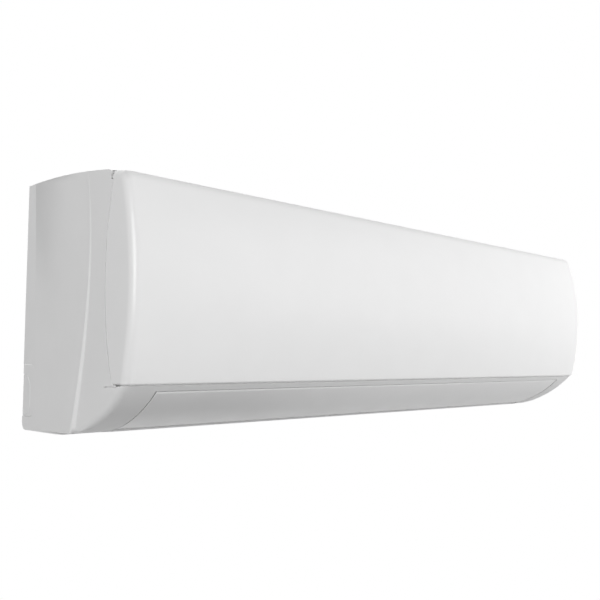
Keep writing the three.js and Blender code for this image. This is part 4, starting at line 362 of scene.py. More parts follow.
@dataclass(frozen=True)
class Finish:
    """A real material and how its surface was made, as node settings.

    The colour drifts between two near tones over a few centimetres, the way moulded or
    rolled stock does. The roughness follows a second, finer noise, and a bump carries the
    grain of the mould or the tool.
    """

    name: str
    colour: str
    other: str
    roughness: float
    spread: float = 0.04
    drift: float = 60.0
    grain: float = 0.9
    relief: float = 0.02
    metallic: float = 0.0
    pattern: Pattern = Pattern.PLAIN
    pitch: float = 2.0

    def build(self) -> bpy.types.Material:
        """Makes the material, unless it has been made before.

        Returns:
            The material.
        """
        made = bpy.data.materials.get(self.name)
        if made is not None:
            return made
        material = bpy.data.materials.new(self.name)
        material.use_nodes = True
        tree = material.node_tree
        tree.nodes.clear()
        place = add_node(tree, "ShaderNodeTexCoord").outputs["Object"]
        cloud, patches, height = (
            add_node(tree, "ShaderNodeTexNoise", {
                "Scale": 1.0 / (size * MM), "Detail": detail}, {"Vector": place}).outputs["Fac"]
            for size, detail in ((self.drift, 3.0), (self.drift * 0.4, 4.0), (self.grain, 2.0)))
        colour = add_node(tree, "ShaderNodeMix", {
            "data_type": "RGBA", MIX_A: linear(self.colour), MIX_B: linear(self.other)},
            {"Factor": cloud}).outputs[MIX_RESULT]
        if self.pattern is not Pattern.PLAIN:
            colour, height = self.worked(tree, place, colour, height)
        rough = add_node(tree, "ShaderNodeMapRange", {
            "From Min": 0.3, "From Max": 0.7,
            "To Min": self.roughness - self.spread, "To Max": self.roughness + self.spread,
        }, {"Value": patches})
        bump = add_node(tree, "ShaderNodeBump", {"Strength": 1.0, "Distance": self.relief * MM},
                        {"Height": height})
        shader = add_node(tree, "ShaderNodeBsdfPrincipled", {"Metallic": self.metallic}, {
            "Base Color": colour, "Roughness": rough.outputs["Result"],
            "Normal": bump.outputs["Normal"]})
        add_node(tree, "ShaderNodeOutputMaterial", None, {"Surface": shader.outputs["BSDF"]})
        return material

    def worked(self, tree: bpy.types.NodeTree, place: object, colour: object,
               grain: object) -> tuple[object, object]:
        """Adds the pattern to the colour and the height.

        Spangle is the zinc's crystal patches, fins and net are raised lines drawn about
        twice as coarse as real ones so that they show, with painted shade darkening the gaps
        between the lines, drawn is faint lines along X, and tracks are the copper runs of a board.

        Args:
            tree: The material's node tree.
            place: Socket of the place on the object.
            colour: Socket of the plain colour.
            grain: Socket of the plain grain's height.

        Returns:
            Sockets of the colour and of the height.
        """
        scale = 1.0 / (self.pitch * MM)
        if self.pattern is Pattern.SPANGLE:
            cells = add_node(tree, "ShaderNodeTexVoronoi", {"Scale": scale}, {"Vector": place})
            return self.tinted(tree, colour, cells.outputs["Distance"], 0.86), grain
        if self.pattern is Pattern.TRACKS:
            runs = add_node(tree, "ShaderNodeTexBrick", {
                "Scale": scale, "Mortar Size": 0.09, "Color1": linear(self.colour),
                "Color2": linear(self.other), "Mortar": linear("#5F8F62")}, {"Vector": place})
            return runs.outputs["Color"], runs.outputs["Fac"]
        if self.pattern is Pattern.DRAWN:
            stretched = add_node(tree, "ShaderNodeMapping", {"Scale": (1.0, 30.0, 30.0)},
                                 {"Vector": place})
            height = add_node(tree, "ShaderNodeTexNoise", {
                "Scale": 1.0 / (20.0 * MM), "Detail": 2.0},
                {"Vector": stretched.outputs["Vector"]}).outputs["Fac"]
            return self.tinted(tree, colour, height, 0.9), height
        height, *crossing = (
            add_node(tree, "ShaderNodeTexWave", {
                "wave_type": "BANDS", "bands_direction": across, "Scale": scale * WAVE_SCALE,
                "Distortion": 0.0}, {"Vector": place}).outputs["Fac"]
            for across in ("XZ" if self.pattern is Pattern.NET else "X"))
        for other in crossing:
            height = add_node(tree, "ShaderNodeMath", {"operation": "MAXIMUM"},
                              {0: height, 1: other}).outputs[0]
        # Fins and net keep only 0.55 of their colour in the low parts: painted shade in the gaps
        # between the raised lines.
        return self.tinted(tree, colour, height, 0.55), height

    def tinted(self, tree: bpy.types.NodeTree, colour: object, height: object,
               least: float) -> object:
        """Darkens a colour where a height is low: the spangle's and the drawn lines' own tone, and
        painted shade in the gaps of fins and net.

        Args:
            tree: The material's node tree.
            colour: Socket of the colour.
            height: Socket of the height, 0 to 1.
            least: Share of the colour that is left where the height is 0.

        Returns:
            Socket of the colour.
        """
        tone = add_node(tree, "ShaderNodeMapRange", {"To Min": least, "To Max": 1.0},
                        {"Value": height})
        return add_node(tree, "ShaderNodeMix", {
            "data_type": "RGBA", "blend_type": "MULTIPLY", "Factor": 1.0},
            {MIX_A: colour, MIX_B: tone.outputs["Result"]}).outputs[MIX_RESULT]


# Moulded ABS from a lightly etched tool: a soft satin sheen and a grain that the eye
# reads as even white. The real grain is 0.1 mm and is drawn at 0.9 mm so that it shows.
CASE_ABS = Finish("moulded_abs_satin", "#F1F1F1", "#ECECEC", 0.40, relief=0.010)
# Moulded ABS from a polished tool: whiter, with a clearer reflection and a faint ripple.
PANEL_ABS = Finish("moulded_abs_polished", "#F5F5F5", "#F1F1F1", 0.31, spread=0.03, grain=6.0,
                   relief=0.003)
# Impact polystyrene, moulded with flow clouds: off-white and matt, so that the inside
# falls back behind the case.
HOUSING_PS = Finish("moulded_polystyrene", "#DEDFDC", "#D3D4D0", 0.55, grain=1.2, relief=0.02)
# Glass-filled plastic of the fan, moulded with fibres that bloom at the surface: dark
# grey with lighter patches, which keeps the blades readable in the shade.
FAN_PLASTIC = Finish("glass_filled_plastic", "#3A3D40", "#4A4D50", 0.5, drift=12.0, grain=1.0,
                     relief=0.03)
# Acetal of the vanes and their links, moulded: a matt light grey against the white case.
VANE_PLASTIC = Finish("moulded_acetal_grey", "#D3D5D5", "#C9CCCC", 0.45, drift=25.0,
                      relief=0.01)
# Pressed rubber, slightly dusty: a dull black with no highlight.
RUBBER = Finish("moulded_rubber", "#242424", "#303030", 0.85, drift=9.0, grain=0.8,
                relief=0.03)
# Hot-dipped zinc on sheet steel: its crystals read as cool grey patches 7 mm across.
ZINC_STEEL = Finish("galvanised_sheet", "#BCC0C2", "#A9AEB1", 0.38, spread=0.08, relief=0.01,
                    metallic=0.9, pattern=Pattern.SPANGLE, pitch=7.0)
# Turned and plated steel: fine tool marks that give a bright, tight highlight.
STEEL = Finish("turned_steel", "#C9CCCE", "#B9BDC0", 0.28, drift=5.0, grain=0.5, relief=0.004,
               metallic=1.0)
# Stamped aluminium fins, 1.4 mm apart in the real coil and drawn at 2.8 mm, which gives
# the solid slabs their stack of upright lines, with painted shade darkening the gaps between them.
FINS = Finish("fin_aluminium", "#C7CCCF", "#B8BEC2", 0.4, relief=0.5, metallic=0.85,
              pattern=Pattern.FINS, pitch=2.8)
# Drawn copper tube, browned a little in patches: long faint lines and a warm highlight.
COPPER = Finish("drawn_copper", "#C67E50", "#A9623C", 0.3, spread=0.1, drift=18.0, relief=0.01,
                metallic=1.0, pattern=Pattern.DRAWN)
# Machined brass: a yellow highlight that sets the nuts off from the copper.
BRASS = Finish("machined_brass", "#C9AB5E", "#B99A4C", 0.28, drift=8.0, grain=0.5,
               relief=0.006, metallic=1.0)
# Woven polypropylene net on a moulded frame, its mesh drawn at 2.4 mm so that the
# blue-grey sheet reads as cloth, with painted shade darkening the gaps between its strands.
FILTER_NET = Finish("polypropylene_net", "#A3B7C2", "#97ACB8", 0.6, relief=0.25,
                    pattern=Pattern.NET, pitch=2.4)
# Lacquered glass-fibre board: lighter copper runs under a green gloss.
BOARD = Finish("lacquered_board", "#2F6B46", "#2A6240", 0.35, relief=0.03,
               pattern=Pattern.TRACKS, pitch=16.0)
# Pressed thermoset of the terminals and the sensor's holder: cream, between the greys.
TERMINAL = Finish("moulded_terminal_plastic", "#E9E6DC", "#DFDBCF", 0.45, drift=15.0,
                  relief=0.01)

FINISH_OF_SLOT = {
    "case_abs": CASE_ABS, "panel_abs": PANEL_ABS, "housing_plastic": HOUSING_PS,
    "fan_plastic": FAN_PLASTIC, "vane_plastic": VANE_PLASTIC, "rubber": RUBBER,
    "zinc_steel": ZINC_STEEL, "steel": STEEL, "fins": FINS, "copper": COPPER, "brass": BRASS,
    "filter_plastic": FILTER_NET, "board": BOARD, "terminal": TERMINAL,
}


def dress(thing: bpy.types.Object, body: str, slot: str, *nodes: str) -> None:
    """Finishes a new piece: its material, the body it rides on and the nodes it stands for.

    Args:
        thing: The piece.
        body: The CAD body that it moves with.
        slot: The record's material slot.
        nodes: CAD nodes that are hidden behind it.
    """
    thing.data.materials.clear()
    thing.data.materials.append(FINISH_OF_SLOT[slot].build())
    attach(thing, body)
    if nodes:
        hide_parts(*nodes)


# ---------------------------------------------------------------- the outer section


@dataclass(frozen=True)
class Section:
    """The unit's cross-section and the shape of its ends.

    The section is a chain of arcs in (y, z): the arched top, a rounded corner, the bulged
    front down to the panel's foot, and the chin. On each end a crease runs from the top to
    the chin, and ahead of it the end steps in and tapers. The shares are counted round the
    front in the 22 rows of the CAD's section.
    """

    half: float = 485.0
    top: float = 150.0
    top_radius: float = 1240.0
    corner_radius: float = 16.0
    corner: Pair = (-217.3975, 114.5391)
    front_centre: Pair = (140.0, 15.0)
    front_radius: float = 387.0
    front_top: float = 118.0
    panel_foot: float = -93.0
    foot_radius: float = 3.6
    chin_top: float = -94.0
    chin_centre: Pair = (-93.0, 40.0)
    chin_radius: float = 190.0
    crease_top: float = 150.0
    crease_foot: float = 123.0
    crease_bow: Pair = (-176.0, 30.0)
    crease_samples: int = 400
    step_start: float = 0.3
    step_end: float = 3.6
    step_power: float = 1.6
    taper: float = 8.0
    taper_lead: float = 20.0
    taper_height: float = 77.0
    taper_power: float = 1.5
    edge_radius: float = 10.0
    edge_start: float = 0.6
    edge_grow: float = 0.15
    edge_fade: float = 0.12
    hinge_share: float = 2.5 / 22
    top_share: float = 3 / 22
    corner_share: float = 6 / 22
    foot_share: float = 13 / 22
    chin_share: float = 16 / 22
    seam_centre: Pair = (-586.5975, 15.0)
    seam_radius: float = 394.0
    seam_gap: float = 1.0

    @property
    def top_centre(self) -> Pair:
        """Centre of the arched top."""
        return 0.0, self.top - self.top_radius

    def top_z(self, depth: Curve) -> Curve:
        """Height of the top skin at a depth from the wall."""
        return self.top_centre[1] + np.sqrt(self.top_radius ** 2 - np.square(depth))

    def arch_y(self, z: Array) -> Array:
        """Foremost place of the arched top at a height."""
        reach = self.top_radius ** 2 - (z - self.top_centre[1]) ** 2
        return -np.sqrt(np.maximum(reach, 0.0))

    def front_y(self, z: Curve) -> Curve:
        """Place of the bulged front at a height."""
        y, height = self.front_centre
        return y - np.sqrt(self.front_radius ** 2 - (z - height) ** 2)

    def chin_y(self, z: Array) -> Array:
        """Place of the chin's arc at a height."""
        y, height = self.chin_centre
        return y - np.sqrt(np.maximum(self.chin_radius ** 2 - (z - height) ** 2, 0.0))

    def chin_angle(self, depth: Curve) -> Curve:
        """Angle of the chin's arc at a depth, level at its rear end."""
        reach = (np.asarray(depth) + self.chin_centre[0]) / self.chin_radius
        return 1.5 * np.pi - np.arcsin(reach)

    def seam_y(self, z: Curve, gap: float = 0.0) -> Curve:
        """Place of the seam round the panel's sides, widened by a gap for the case."""
        y, height = self.seam_centre
        return y + np.sqrt((self.seam_radius + gap) ** 2 - (np.asarray(z) - height) ** 2)

    def crease_points(self, t: Array) -> Array:
        """The crease from the top skin to the chin.

        Args:
            t: Share of the way down, from 0 to 1.

        Returns:
            Points (y, z) of a quadratic curve: the start times (1 - t)^2, the bow times
            2t(1 - t) and the end times t^2, added up.
        """
        start = np.array([-self.crease_top, self.top_z(self.crease_top)])
        end = polar(self.chin_centre, self.chin_radius, self.chin_angle(self.crease_foot))
        bow = np.array(self.crease_bow)
        t = np.asarray(t, dtype=float)[..., None]
        return (1 - t) ** 2 * start + 2 * t * (1 - t) * bow + t ** 2 * end

    def crease_at(self, z: Curve) -> tuple[Array, Array]:
        """The crease at a height, by interpolation.

        Args:
            z: Heights.

        Returns:
            Place y and share t along the crease.
        """
        t = np.linspace(0.0, 1.0, self.crease_samples)
        curve = self.crease_points(t)
        share = np.interp(-np.asarray(z, dtype=float), -curve[:, 1], t)
        return np.interp(share, t, curve[:, 0]), share

    def front_edge(self, z: Curve) -> Array:
        """Foremost place of the section, on the chin, the front or the top by the height.

        Args:
            z: Heights.

        Returns:
            Places in front of the wall, negative.
        """
        z = np.asarray(z, dtype=float)
        front = self.front_y(np.minimum(z, self.front_top))
        above = np.where(z > self.front_top, self.arch_y(z), front)
        return np.where(z < self.panel_foot, self.chin_y(z), above)

    def step(self, t: Array) -> Array:
        """How far the end steps in at the crease: it grows down it as t to the 1.6."""
        return self.step_start + (self.step_end - self.step_start) * t ** self.step_power

    def end_x(self, y: Curve, z: Curve) -> Array:
        """Half width of the end face ahead of the crease.

        The end steps in by the crease's step, and the chin's ends draw in further with the
        square of the share of the way to the front.

        Args:
            y: Places in front of the wall, negative.
            z: Heights.

        Returns:
            Distances from the middle of the unit, positive.
        """
        y, z = np.broadcast_arrays(np.asarray(y, dtype=float), np.asarray(z, dtype=float))
        crease_y, t = self.crease_at(z)
        below = (self.panel_foot + self.taper_lead - z) / self.taper_height
        low = np.clip(below, 0.0, 1.0) ** self.taper_power
        run = np.maximum(crease_y - self.front_edge(z), 1.0)
        reach = np.clip((crease_y - y) / run, 0.0, 1.0)
        return self.half - self.step(t) - self.taper * low * reach ** 2

    def rounding(self, t: Array) -> Array:
        """Radius between end and front: it swells from both ends of the share t."""
        swell = smooth(t / self.edge_grow) * smooth((1.0 - t) / self.edge_fade)
        return self.edge_start + (self.edge_radius - self.edge_start) * swell


# ---------------------------------------------------------------- front panel


@dataclass
class FrontPanel:
    """The bulged front: one skin from its lower lip to the rolled bead at the hinge."""

    section: Section
    wall: float = 2.4
    rim_roll: float = 0.45
    hinge: Pair = (-205.9975, 128.9694)
    bead: float = 3.8
    bead_end: float = -0.62
    bead_steps: int = 14
    lip: float = 5.5
    lip_steps: int = 5
    foot_steps: int = 7
    front_rows: int = 64
    corner_rows: int = 15
    top_rows: int = 7
    side_steps: int = 12
    round_steps: int = 9
    across_steps: int = 44
    across_half: float = 440.0
    seam_top: float = 122.0
    facet_depth: float = 0.28
    facet_from: float = 205.0
    facet_blend: float = 10.0
    notch: Pair = (465.3, 472.7)
    notch_front: float = -213.0
    notch_foot: float = 100.0
    rib_places: tuple[float, ...] = (-303.0, -101.0, 101.0, 303.0)
    rib_foot: float = 14.0
    rib_top: float = 96.0
    rib_depth: float = 5.0
    rib_sink: float = 0.2
    rib_halves: Pair = (0.8, 0.6)
    rib_rows: int = 40
    pin_radius: float = 2.2
    pin_half: float = 5.4

    def rows(self) -> tuple[Array, Array, Array]:
        """Places up the panel's section, from the lower rounding to the hinge.

        Returns:
            Skin points (y, z), outward normals, and the share round the front.
        """
        s = self.section
        foot = s.front_radius - s.foot_radius
        foot_z = s.panel_foot + s.foot_radius
        foot_y = s.front_centre[0] - math.sqrt(foot ** 2 - (foot_z - s.front_centre[1]) ** 2)
        start = 2 * math.pi + math.atan2(foot_z - s.front_centre[1], foot_y - s.front_centre[0])
        to_corner = math.atan2(s.corner[1] - s.front_centre[1], s.corner[0] - s.front_centre[0])
        to_top = math.atan2(s.corner[1] - s.top_centre[1], s.corner[0])
        hinge = math.pi / 2 + math.asin(-self.hinge[0] / s.top_radius)
        front = np.linspace(start, to_corner, self.front_rows)
        corner = np.linspace(to_corner, to_top, self.corner_rows)[1:]
        top = np.linspace(to_top, hinge, self.top_rows)[1:]
        points = np.concatenate([polar(s.front_centre, s.front_radius, front),
                                 polar(s.corner, s.corner_radius, corner),
                                 polar(s.top_centre, s.top_radius, top)])
        angle = np.concatenate([front, corner, top])
        share = np.concatenate([
            np.interp(front, [to_corner, start], [s.corner_share, s.foot_share]),
            np.interp(corner, [to_top, to_corner], [s.top_share, s.corner_share]),
            np.interp(np.linspace(0, 1, self.top_rows)[1:], [0, 1], [s.top_share, s.hinge_share])])
        return points, np.stack([np.cos(angle), np.sin(angle)], -1), share

    def outline(self, points: Array, normals: Array, share: Array) -> Array:
        """The left half of every row, from the seam to the flat front.

        The side runs level from the seam to the rim, and the rim turns through a quarter
        circle of radius r into the skin: x falls by r(1 - cos a) as the inset of the point
        along the skin's normal falls to r(1 - sin a).

        Args:
            points: Skin points (y, z) of the rows.
            normals: Outward normals of the rows.
            share: Share round the front of the rows.

        Returns:
            Places (rows, columns, 3) with x as the distance from the middle.
        """
        s = self.section
        radius = s.rounding(share)
        rim = points - normals * radius[:, None]
        height = np.minimum(rim[:, 1], self.seam_top)
        seam = np.stack([np.maximum(s.seam_y(height), self.hinge[0]), height], -1)
        f = band(0.0, 1.0, self.side_steps)[None, :, None]
        side = seam[:, None, :] * (1 - f) + rim[:, None, :] * f
        x = s.end_x(side[..., 0], side[..., 1])
        a = band(0.0, np.pi / 2, self.round_steps)[1:]
        inset = (radius[:, None] * (1 - np.sin(a)))[..., None]
        turn = points[:, None, :] - normals[:, None, :] * inset
        turn_x = x[:, -1:] - radius[:, None] * (1 - np.cos(a))
        return np.concatenate([np.dstack([x, side]), np.dstack([turn_x, turn])], axis=1)

    def lower_rows(self, first: Array) -> Array:
        """Rows of the lower rounding and lip, from the lip's edge up to the first skin row.

        The rounding turns through a quarter circle below the first row while its outline
        draws in, and the lip goes on drawing in at the level of the panel's foot.

        Args:
            first: Places of the first skin row.

        Returns:
            Places (rows, columns, 3).
        """
        s = self.section
        slope = math.asin((s.panel_foot + s.foot_radius - s.front_centre[1]) / -s.front_radius)
        turn = band(slope, np.pi / 2, self.foot_steps)[1:]
        drop = np.concatenate([np.sin(turn), np.ones(self.lip_steps)]) * s.foot_radius
        inset = np.concatenate([
            s.foot_radius * (math.cos(slope) - np.cos(turn)),
            s.foot_radius * math.cos(slope) + band(0, self.lip, self.lip_steps)[1:]])
        along = np.gradient(first[:, :2], axis=0)
        inward = np.stack([-along[:, 1], along[:, 0]], -1)
        inward /= np.maximum(np.linalg.norm(inward, axis=1, keepdims=True), 1e-9)
        flat = first[None, :, :2] + inset[:, None, None] * inward[None]
        level = s.panel_foot + s.foot_radius - drop
        return np.dstack([flat, np.broadcast_to(level[:, None], flat.shape[:2])])[::-1]

    def bead_rows(self, last: Array) -> Array:
        """Rows that roll the top edge over the hinge line, a circle about the hinge.

        Args:
            last: Places of the last skin row. Where it lies lower, the circle is smaller.

        Returns:
            Places (rows, columns, 3).
        """
        angle = band(math.pi / 2, math.pi * self.bead_end, self.bead_steps)[1:]
        circle = polar(self.hinge, self.bead, angle)
        shape = np.clip((last[:, 2] - self.hinge[1]) / self.bead, 0.0, 1.0)
        y, z = (self.hinge[k] + (circle[:, k] - self.hinge[k])[:, None] * shape for k in (0, 1))
        return np.dstack([np.broadcast_to(last[None, :, 0], y.shape), y, z])

    def build(self) -> bpy.types.Object:
        """Makes the panel's skin and cuts the two notches that its hinge pins stand in.

        The skin is pushed back by the facet depth towards the front, where its smooth arc
        would stand out further than the flat facets of the CAD.

        Returns:
            The panel, dressed.
        """
        points, normals, share = self.rows()
        half = self.outline(points, normals, share) * np.array([-1.0, 1.0, 1.0])
        columns = np.unique(np.concatenate([
            band(-1, 1, self.across_steps) * self.across_half,
            [-self.notch[1], -self.notch[0], self.notch[0], self.notch[1]]]))
        middle = np.repeat(half[:, -1:, :], len(columns), axis=1)
        limit = np.abs(half[:, -1:, 0]) - 0.05
        middle[:, :, 0] = np.clip(columns[None, :], -limit, limit)
        mirrored = half[:, ::-1, :] * np.array([-1.0, 1.0, 1.0])
        skin = np.concatenate([half, middle, mirrored], axis=1)
        lower = self.lower_rows(skin[0])
        whole = np.concatenate([lower, skin, self.bead_rows(skin[-1])], axis=0)
        ahead = (-whole[..., 1] - self.facet_from) / self.facet_blend
        whole[..., 1] += self.facet_depth * np.clip(ahead, 0.0, 1.0)
        count, width = whole.shape[:2]
        keep = np.ones((count - 1, width - 1), dtype=bool)
        inner = half.shape[1]
        starts = np.searchsorted(columns, [-self.notch[1], self.notch[0]])
        upper = (points[:, 0] > self.notch_front) & (points[:, 1] > self.notch_foot)
        keep[len(lower) + int(np.argmax(upper)):, inner + starts] = False
        bead_row = len(lower) + len(skin) - 1
        keep[bead_row:, :inner] = False
        keep[bead_row:, -inner:] = False
        thing = make_object("front_panel_skin", whole.reshape(-1, 3),
                            grid_faces(count, width, keep), inside=(0.0, -120.0, 20.0))
        merge_points(thing)
        thicken(thing, self.wall, self.rim_roll)
        dress(thing, "front_panel", "panel_abs", "front_panel")
        return thing

    def fittings(self) -> bpy.types.Object:
        """Makes the stiffening ribs inside the skin and the hinge pins in the notches.

        A rib stands off the skin by its depth times the square root of the sine of the
        share of the way up.

        Returns:
            Ribs and pins as one piece, dressed.
        """
        s = self.section
        z = np.linspace(s.panel_foot + self.rib_foot, self.rib_top, self.rib_rows)
        front = s.front_y(z) + self.wall - self.rib_sink
        share = np.linspace(0.02, 0.98, self.rib_rows)
        rear = front + self.rib_depth * np.sqrt(np.sin(np.pi * share))
        wide, slim = self.rib_halves
        corners = ((-wide, front), (wide, front), (slim, rear), (-slim, rear))
        tubes = Tubes()
        for x in self.rib_places:
            tubes.add(np.stack([np.column_stack([np.full_like(z, x + dx), y, z])
                                for dx, y in corners], axis=1))
        for side in Side:
            along = side.value * sum(self.notch) / 2 + band(-self.pin_half, self.pin_half, 4)
            tubes.add(np.stack([slice_at(x, ring(self.hinge, self.pin_radius)) for x in along]))
        thing = tubes.make("front_panel_fittings", 40.0)
        dress(thing, "front_panel", "panel_abs")
        return thing


# ---------------------------------------------------------------- case skins


@dataclass
class CaseSkins:
    """The case's smooth visible skins: both cheeks ahead of the crease, and the chin."""

    section: Section
    wall: float = 2.0
    rim_roll: float = 0.4
    tuck: float = 3.0
    tuck_sink: float = 0.25
    fold_sink: float = 0.05
    fold_width: float = 1.6
    fold_growth: float = 1.5
    fold_steps: int = 8
    side_steps: int = 14
    round_steps: int = 9
    cheek_rows: int = 60
    cheek_upper_rows: int = 12
    cheek_top: float = 140.6
    top_gap: float = 0.6
    under_drops: Pair = (1.4, 0.6)
    under_sinks: Pair = (0.35, 0.10)
    seam_top: float = 121.5
    seam_rear: float = -201.2
    outlet_half: float = 438.0
    outlet_top: float = 221.5
    chin_start: float = 227.9
    chin_lead: float = 227.7
    chin_end: float = 126.6
    chin_samples: int = 300
    over_share: float = 0.05
    over_rows: int = 4
    under_rows: int = 44
    across_steps: int = 12
    crease_end: float = 0.999
    crease_power: float = 0.9

    def side_columns(self, z_crease: Array, front: Array) -> Array:
        """Left-hand columns from behind the crease to a front boundary.

        The first column is tucked under the flat rear of the end, the next ones cross the
        crease on a smooth step, and the rest run straight to the boundary.

        Args:
            z_crease: Height of each row at the crease.
            front: Point (y, z) of each row on the front boundary.

        Returns:
            Places (rows, columns, 3).
        """
        s = self.section
        crease_y, t = s.crease_at(z_crease)
        crease = np.stack([crease_y, z_crease], -1)
        run = front - crease
        length = np.maximum(np.linalg.norm(run, axis=1, keepdims=True), 1e-6)
        direction = run / length
        width = np.minimum(self.fold_width + self.fold_growth * s.step(t), length[:, 0] * 0.5)
        u = band(0.0, 1.0, self.fold_steps)
        over = crease[:, None, :] + direction[:, None, :] * (width[:, None] * u)[..., None]
        f = band(0.0, 1.0, self.side_steps)[1:, None]
        start = (crease + direction * width[:, None])[:, None, :]
        rest = start * (1 - f) + front[:, None, :] * f
        flat = np.concatenate([over, rest], axis=1)
        ease = np.concatenate([smooth(u), np.ones(len(f))])[None, :]
        x = (s.half - self.fold_sink) * (1 - ease) + s.end_x(flat[..., 0], flat[..., 1]) * ease
        first = slice_at(s.half - self.tuck_sink, crease - direction * self.tuck)
        whole = np.concatenate([first[:, None, :], np.dstack([x, flat])], axis=1)
        whole[..., 0] *= -1.0
        return whole

    def cheek(self, side: Side) -> bpy.types.Object:
        """One end face between the crease and the seam, above the chin.

        Args:
            side: The end that it stands on.

        Returns:
            The skin, dressed. Its two lowest rows go under the chin's skin.
        """
        s = self.section
        z = np.concatenate([s.chin_top - np.array(self.under_drops),
                            band(s.chin_top, self.seam_top, self.cheek_rows),
                            band(self.seam_top, self.cheek_top, self.cheek_upper_rows)[1:]])
        arc = s.seam_y(np.minimum(z, self.seam_top), s.seam_gap)
        over = np.maximum(self.seam_rear, s.arch_y(z) + self.top_gap)
        front = np.where(z <= self.seam_top, arc, over)
        grid = self.side_columns(z, np.stack([front, z], -1))
        grid[:2, :, 0] += np.array(self.under_sinks)[:, None]
        return self.finish_skin(grid, f"case_cheek_{side.label}", side, None)

    def chin_turns(self, w: Array) -> tuple[list[Array], list[Array]]:
        """Columns round the chin's rounding, from the end face's rim to the flat skin.

        At an angle a each one follows the chin's arc sunk by r(1 - sin a), and it stands
        further in than the rim by r(1 - cos a).

        Args:
            w: Share of each row from the seam to the rear end. The first rows close in on
                the outlet's upper edge.

        Returns:
            Points (y, z) of each column, and how far in each stands.
        """
        s = self.section
        depth = np.linspace(self.chin_start, self.chin_end, self.chin_samples)
        angle = s.chin_angle(depth)
        skin = polar(s.chin_centre, s.chin_radius, angle)
        normal = np.stack([np.cos(angle), np.sin(angle)], -1)
        radius = s.rounding(np.interp(depth, [self.chin_end, self.chin_lead], [1.0, s.chin_share]))
        place = np.arange(len(depth), dtype=float)
        over = float(np.interp(-self.outlet_top, -depth, place))
        beyond = (w - self.over_share) / (1.0 - self.over_share)
        flats, insets = [], []
        for a in band(0.0, np.pi / 2, self.round_steps):
            lift = skin - normal * (radius * (1 - math.sin(a)))[:, None]
            start = float(np.interp(-s.chin_top, -lift[:, 1], place))
            closing = start + (over - start) * np.minimum(w / self.over_share, 1.0)
            at = np.where(w <= self.over_share, closing, over + (place[-1] - over) * beyond)
            flats.append(np.stack([np.interp(at, place, lift[:, k]) for k in (0, 1)], -1))
            insets.append(np.interp(at, place, radius) * (1 - math.cos(a)))
        return flats, insets

    def chin(self, side: Side) -> bpy.types.Object:
        """Half of the chin: its end face, the rounding, and the skin beside and over the outlet.

        Args:
            side: The half that it covers.

        Returns:
            The skin, dressed.
        """
        s = self.section
        w = np.concatenate([band(0.0, self.over_share, self.over_rows),
                            band(self.over_share, 1.0, self.under_rows)[1:]])
        flats, insets = self.chin_turns(w)
        fall = s.crease_points(np.array([self.crease_end]))[0, 1] - s.chin_top
        left = self.side_columns(s.chin_top + fall * w ** self.crease_power, flats[0])
        across = band(-self.outlet_half, 0.0, self.across_steps)
        inner = [np.column_stack([left[:, -1, 0] + inset, flat])
                 for flat, inset in zip(flats[1:], insets[1:])]
        inner += [slice_at(x, flats[-1]) for x in across]
        grid = np.concatenate([left, np.stack(inner, axis=1)], axis=1)
        keep = np.ones((grid.shape[0] - 1, grid.shape[1] - 1), dtype=bool)
        keep[self.over_rows:, grid.shape[1] - len(across):] = False
        return self.finish_skin(grid, f"case_chin_{side.label}", side, keep)

    def finish_skin(self, grid: Array, name: str, side: Side,
                    keep: Array | None) -> bpy.types.Object:
        """Makes one side's skin from the left-hand grid.

        Args:
            grid: Left-hand places (rows, columns, 3).
            name: Name of the piece.
            side: The side; the right one is the mirror image.
            keep: Truth value of each quad, or None for all.

        Returns:
            The skin, dressed.
        """
        points = grid.reshape(-1, 3) * np.array([-side.value, 1.0, 1.0])
        thing = make_object(name, points, grid_faces(*grid.shape[:2], keep),
                            inside=(0.0, -120.0, 0.0))
        merge_points(thing)
        thicken(thing, self.wall, self.rim_roll)
        dress(thing, "chassis", "case_abs")
        return thing


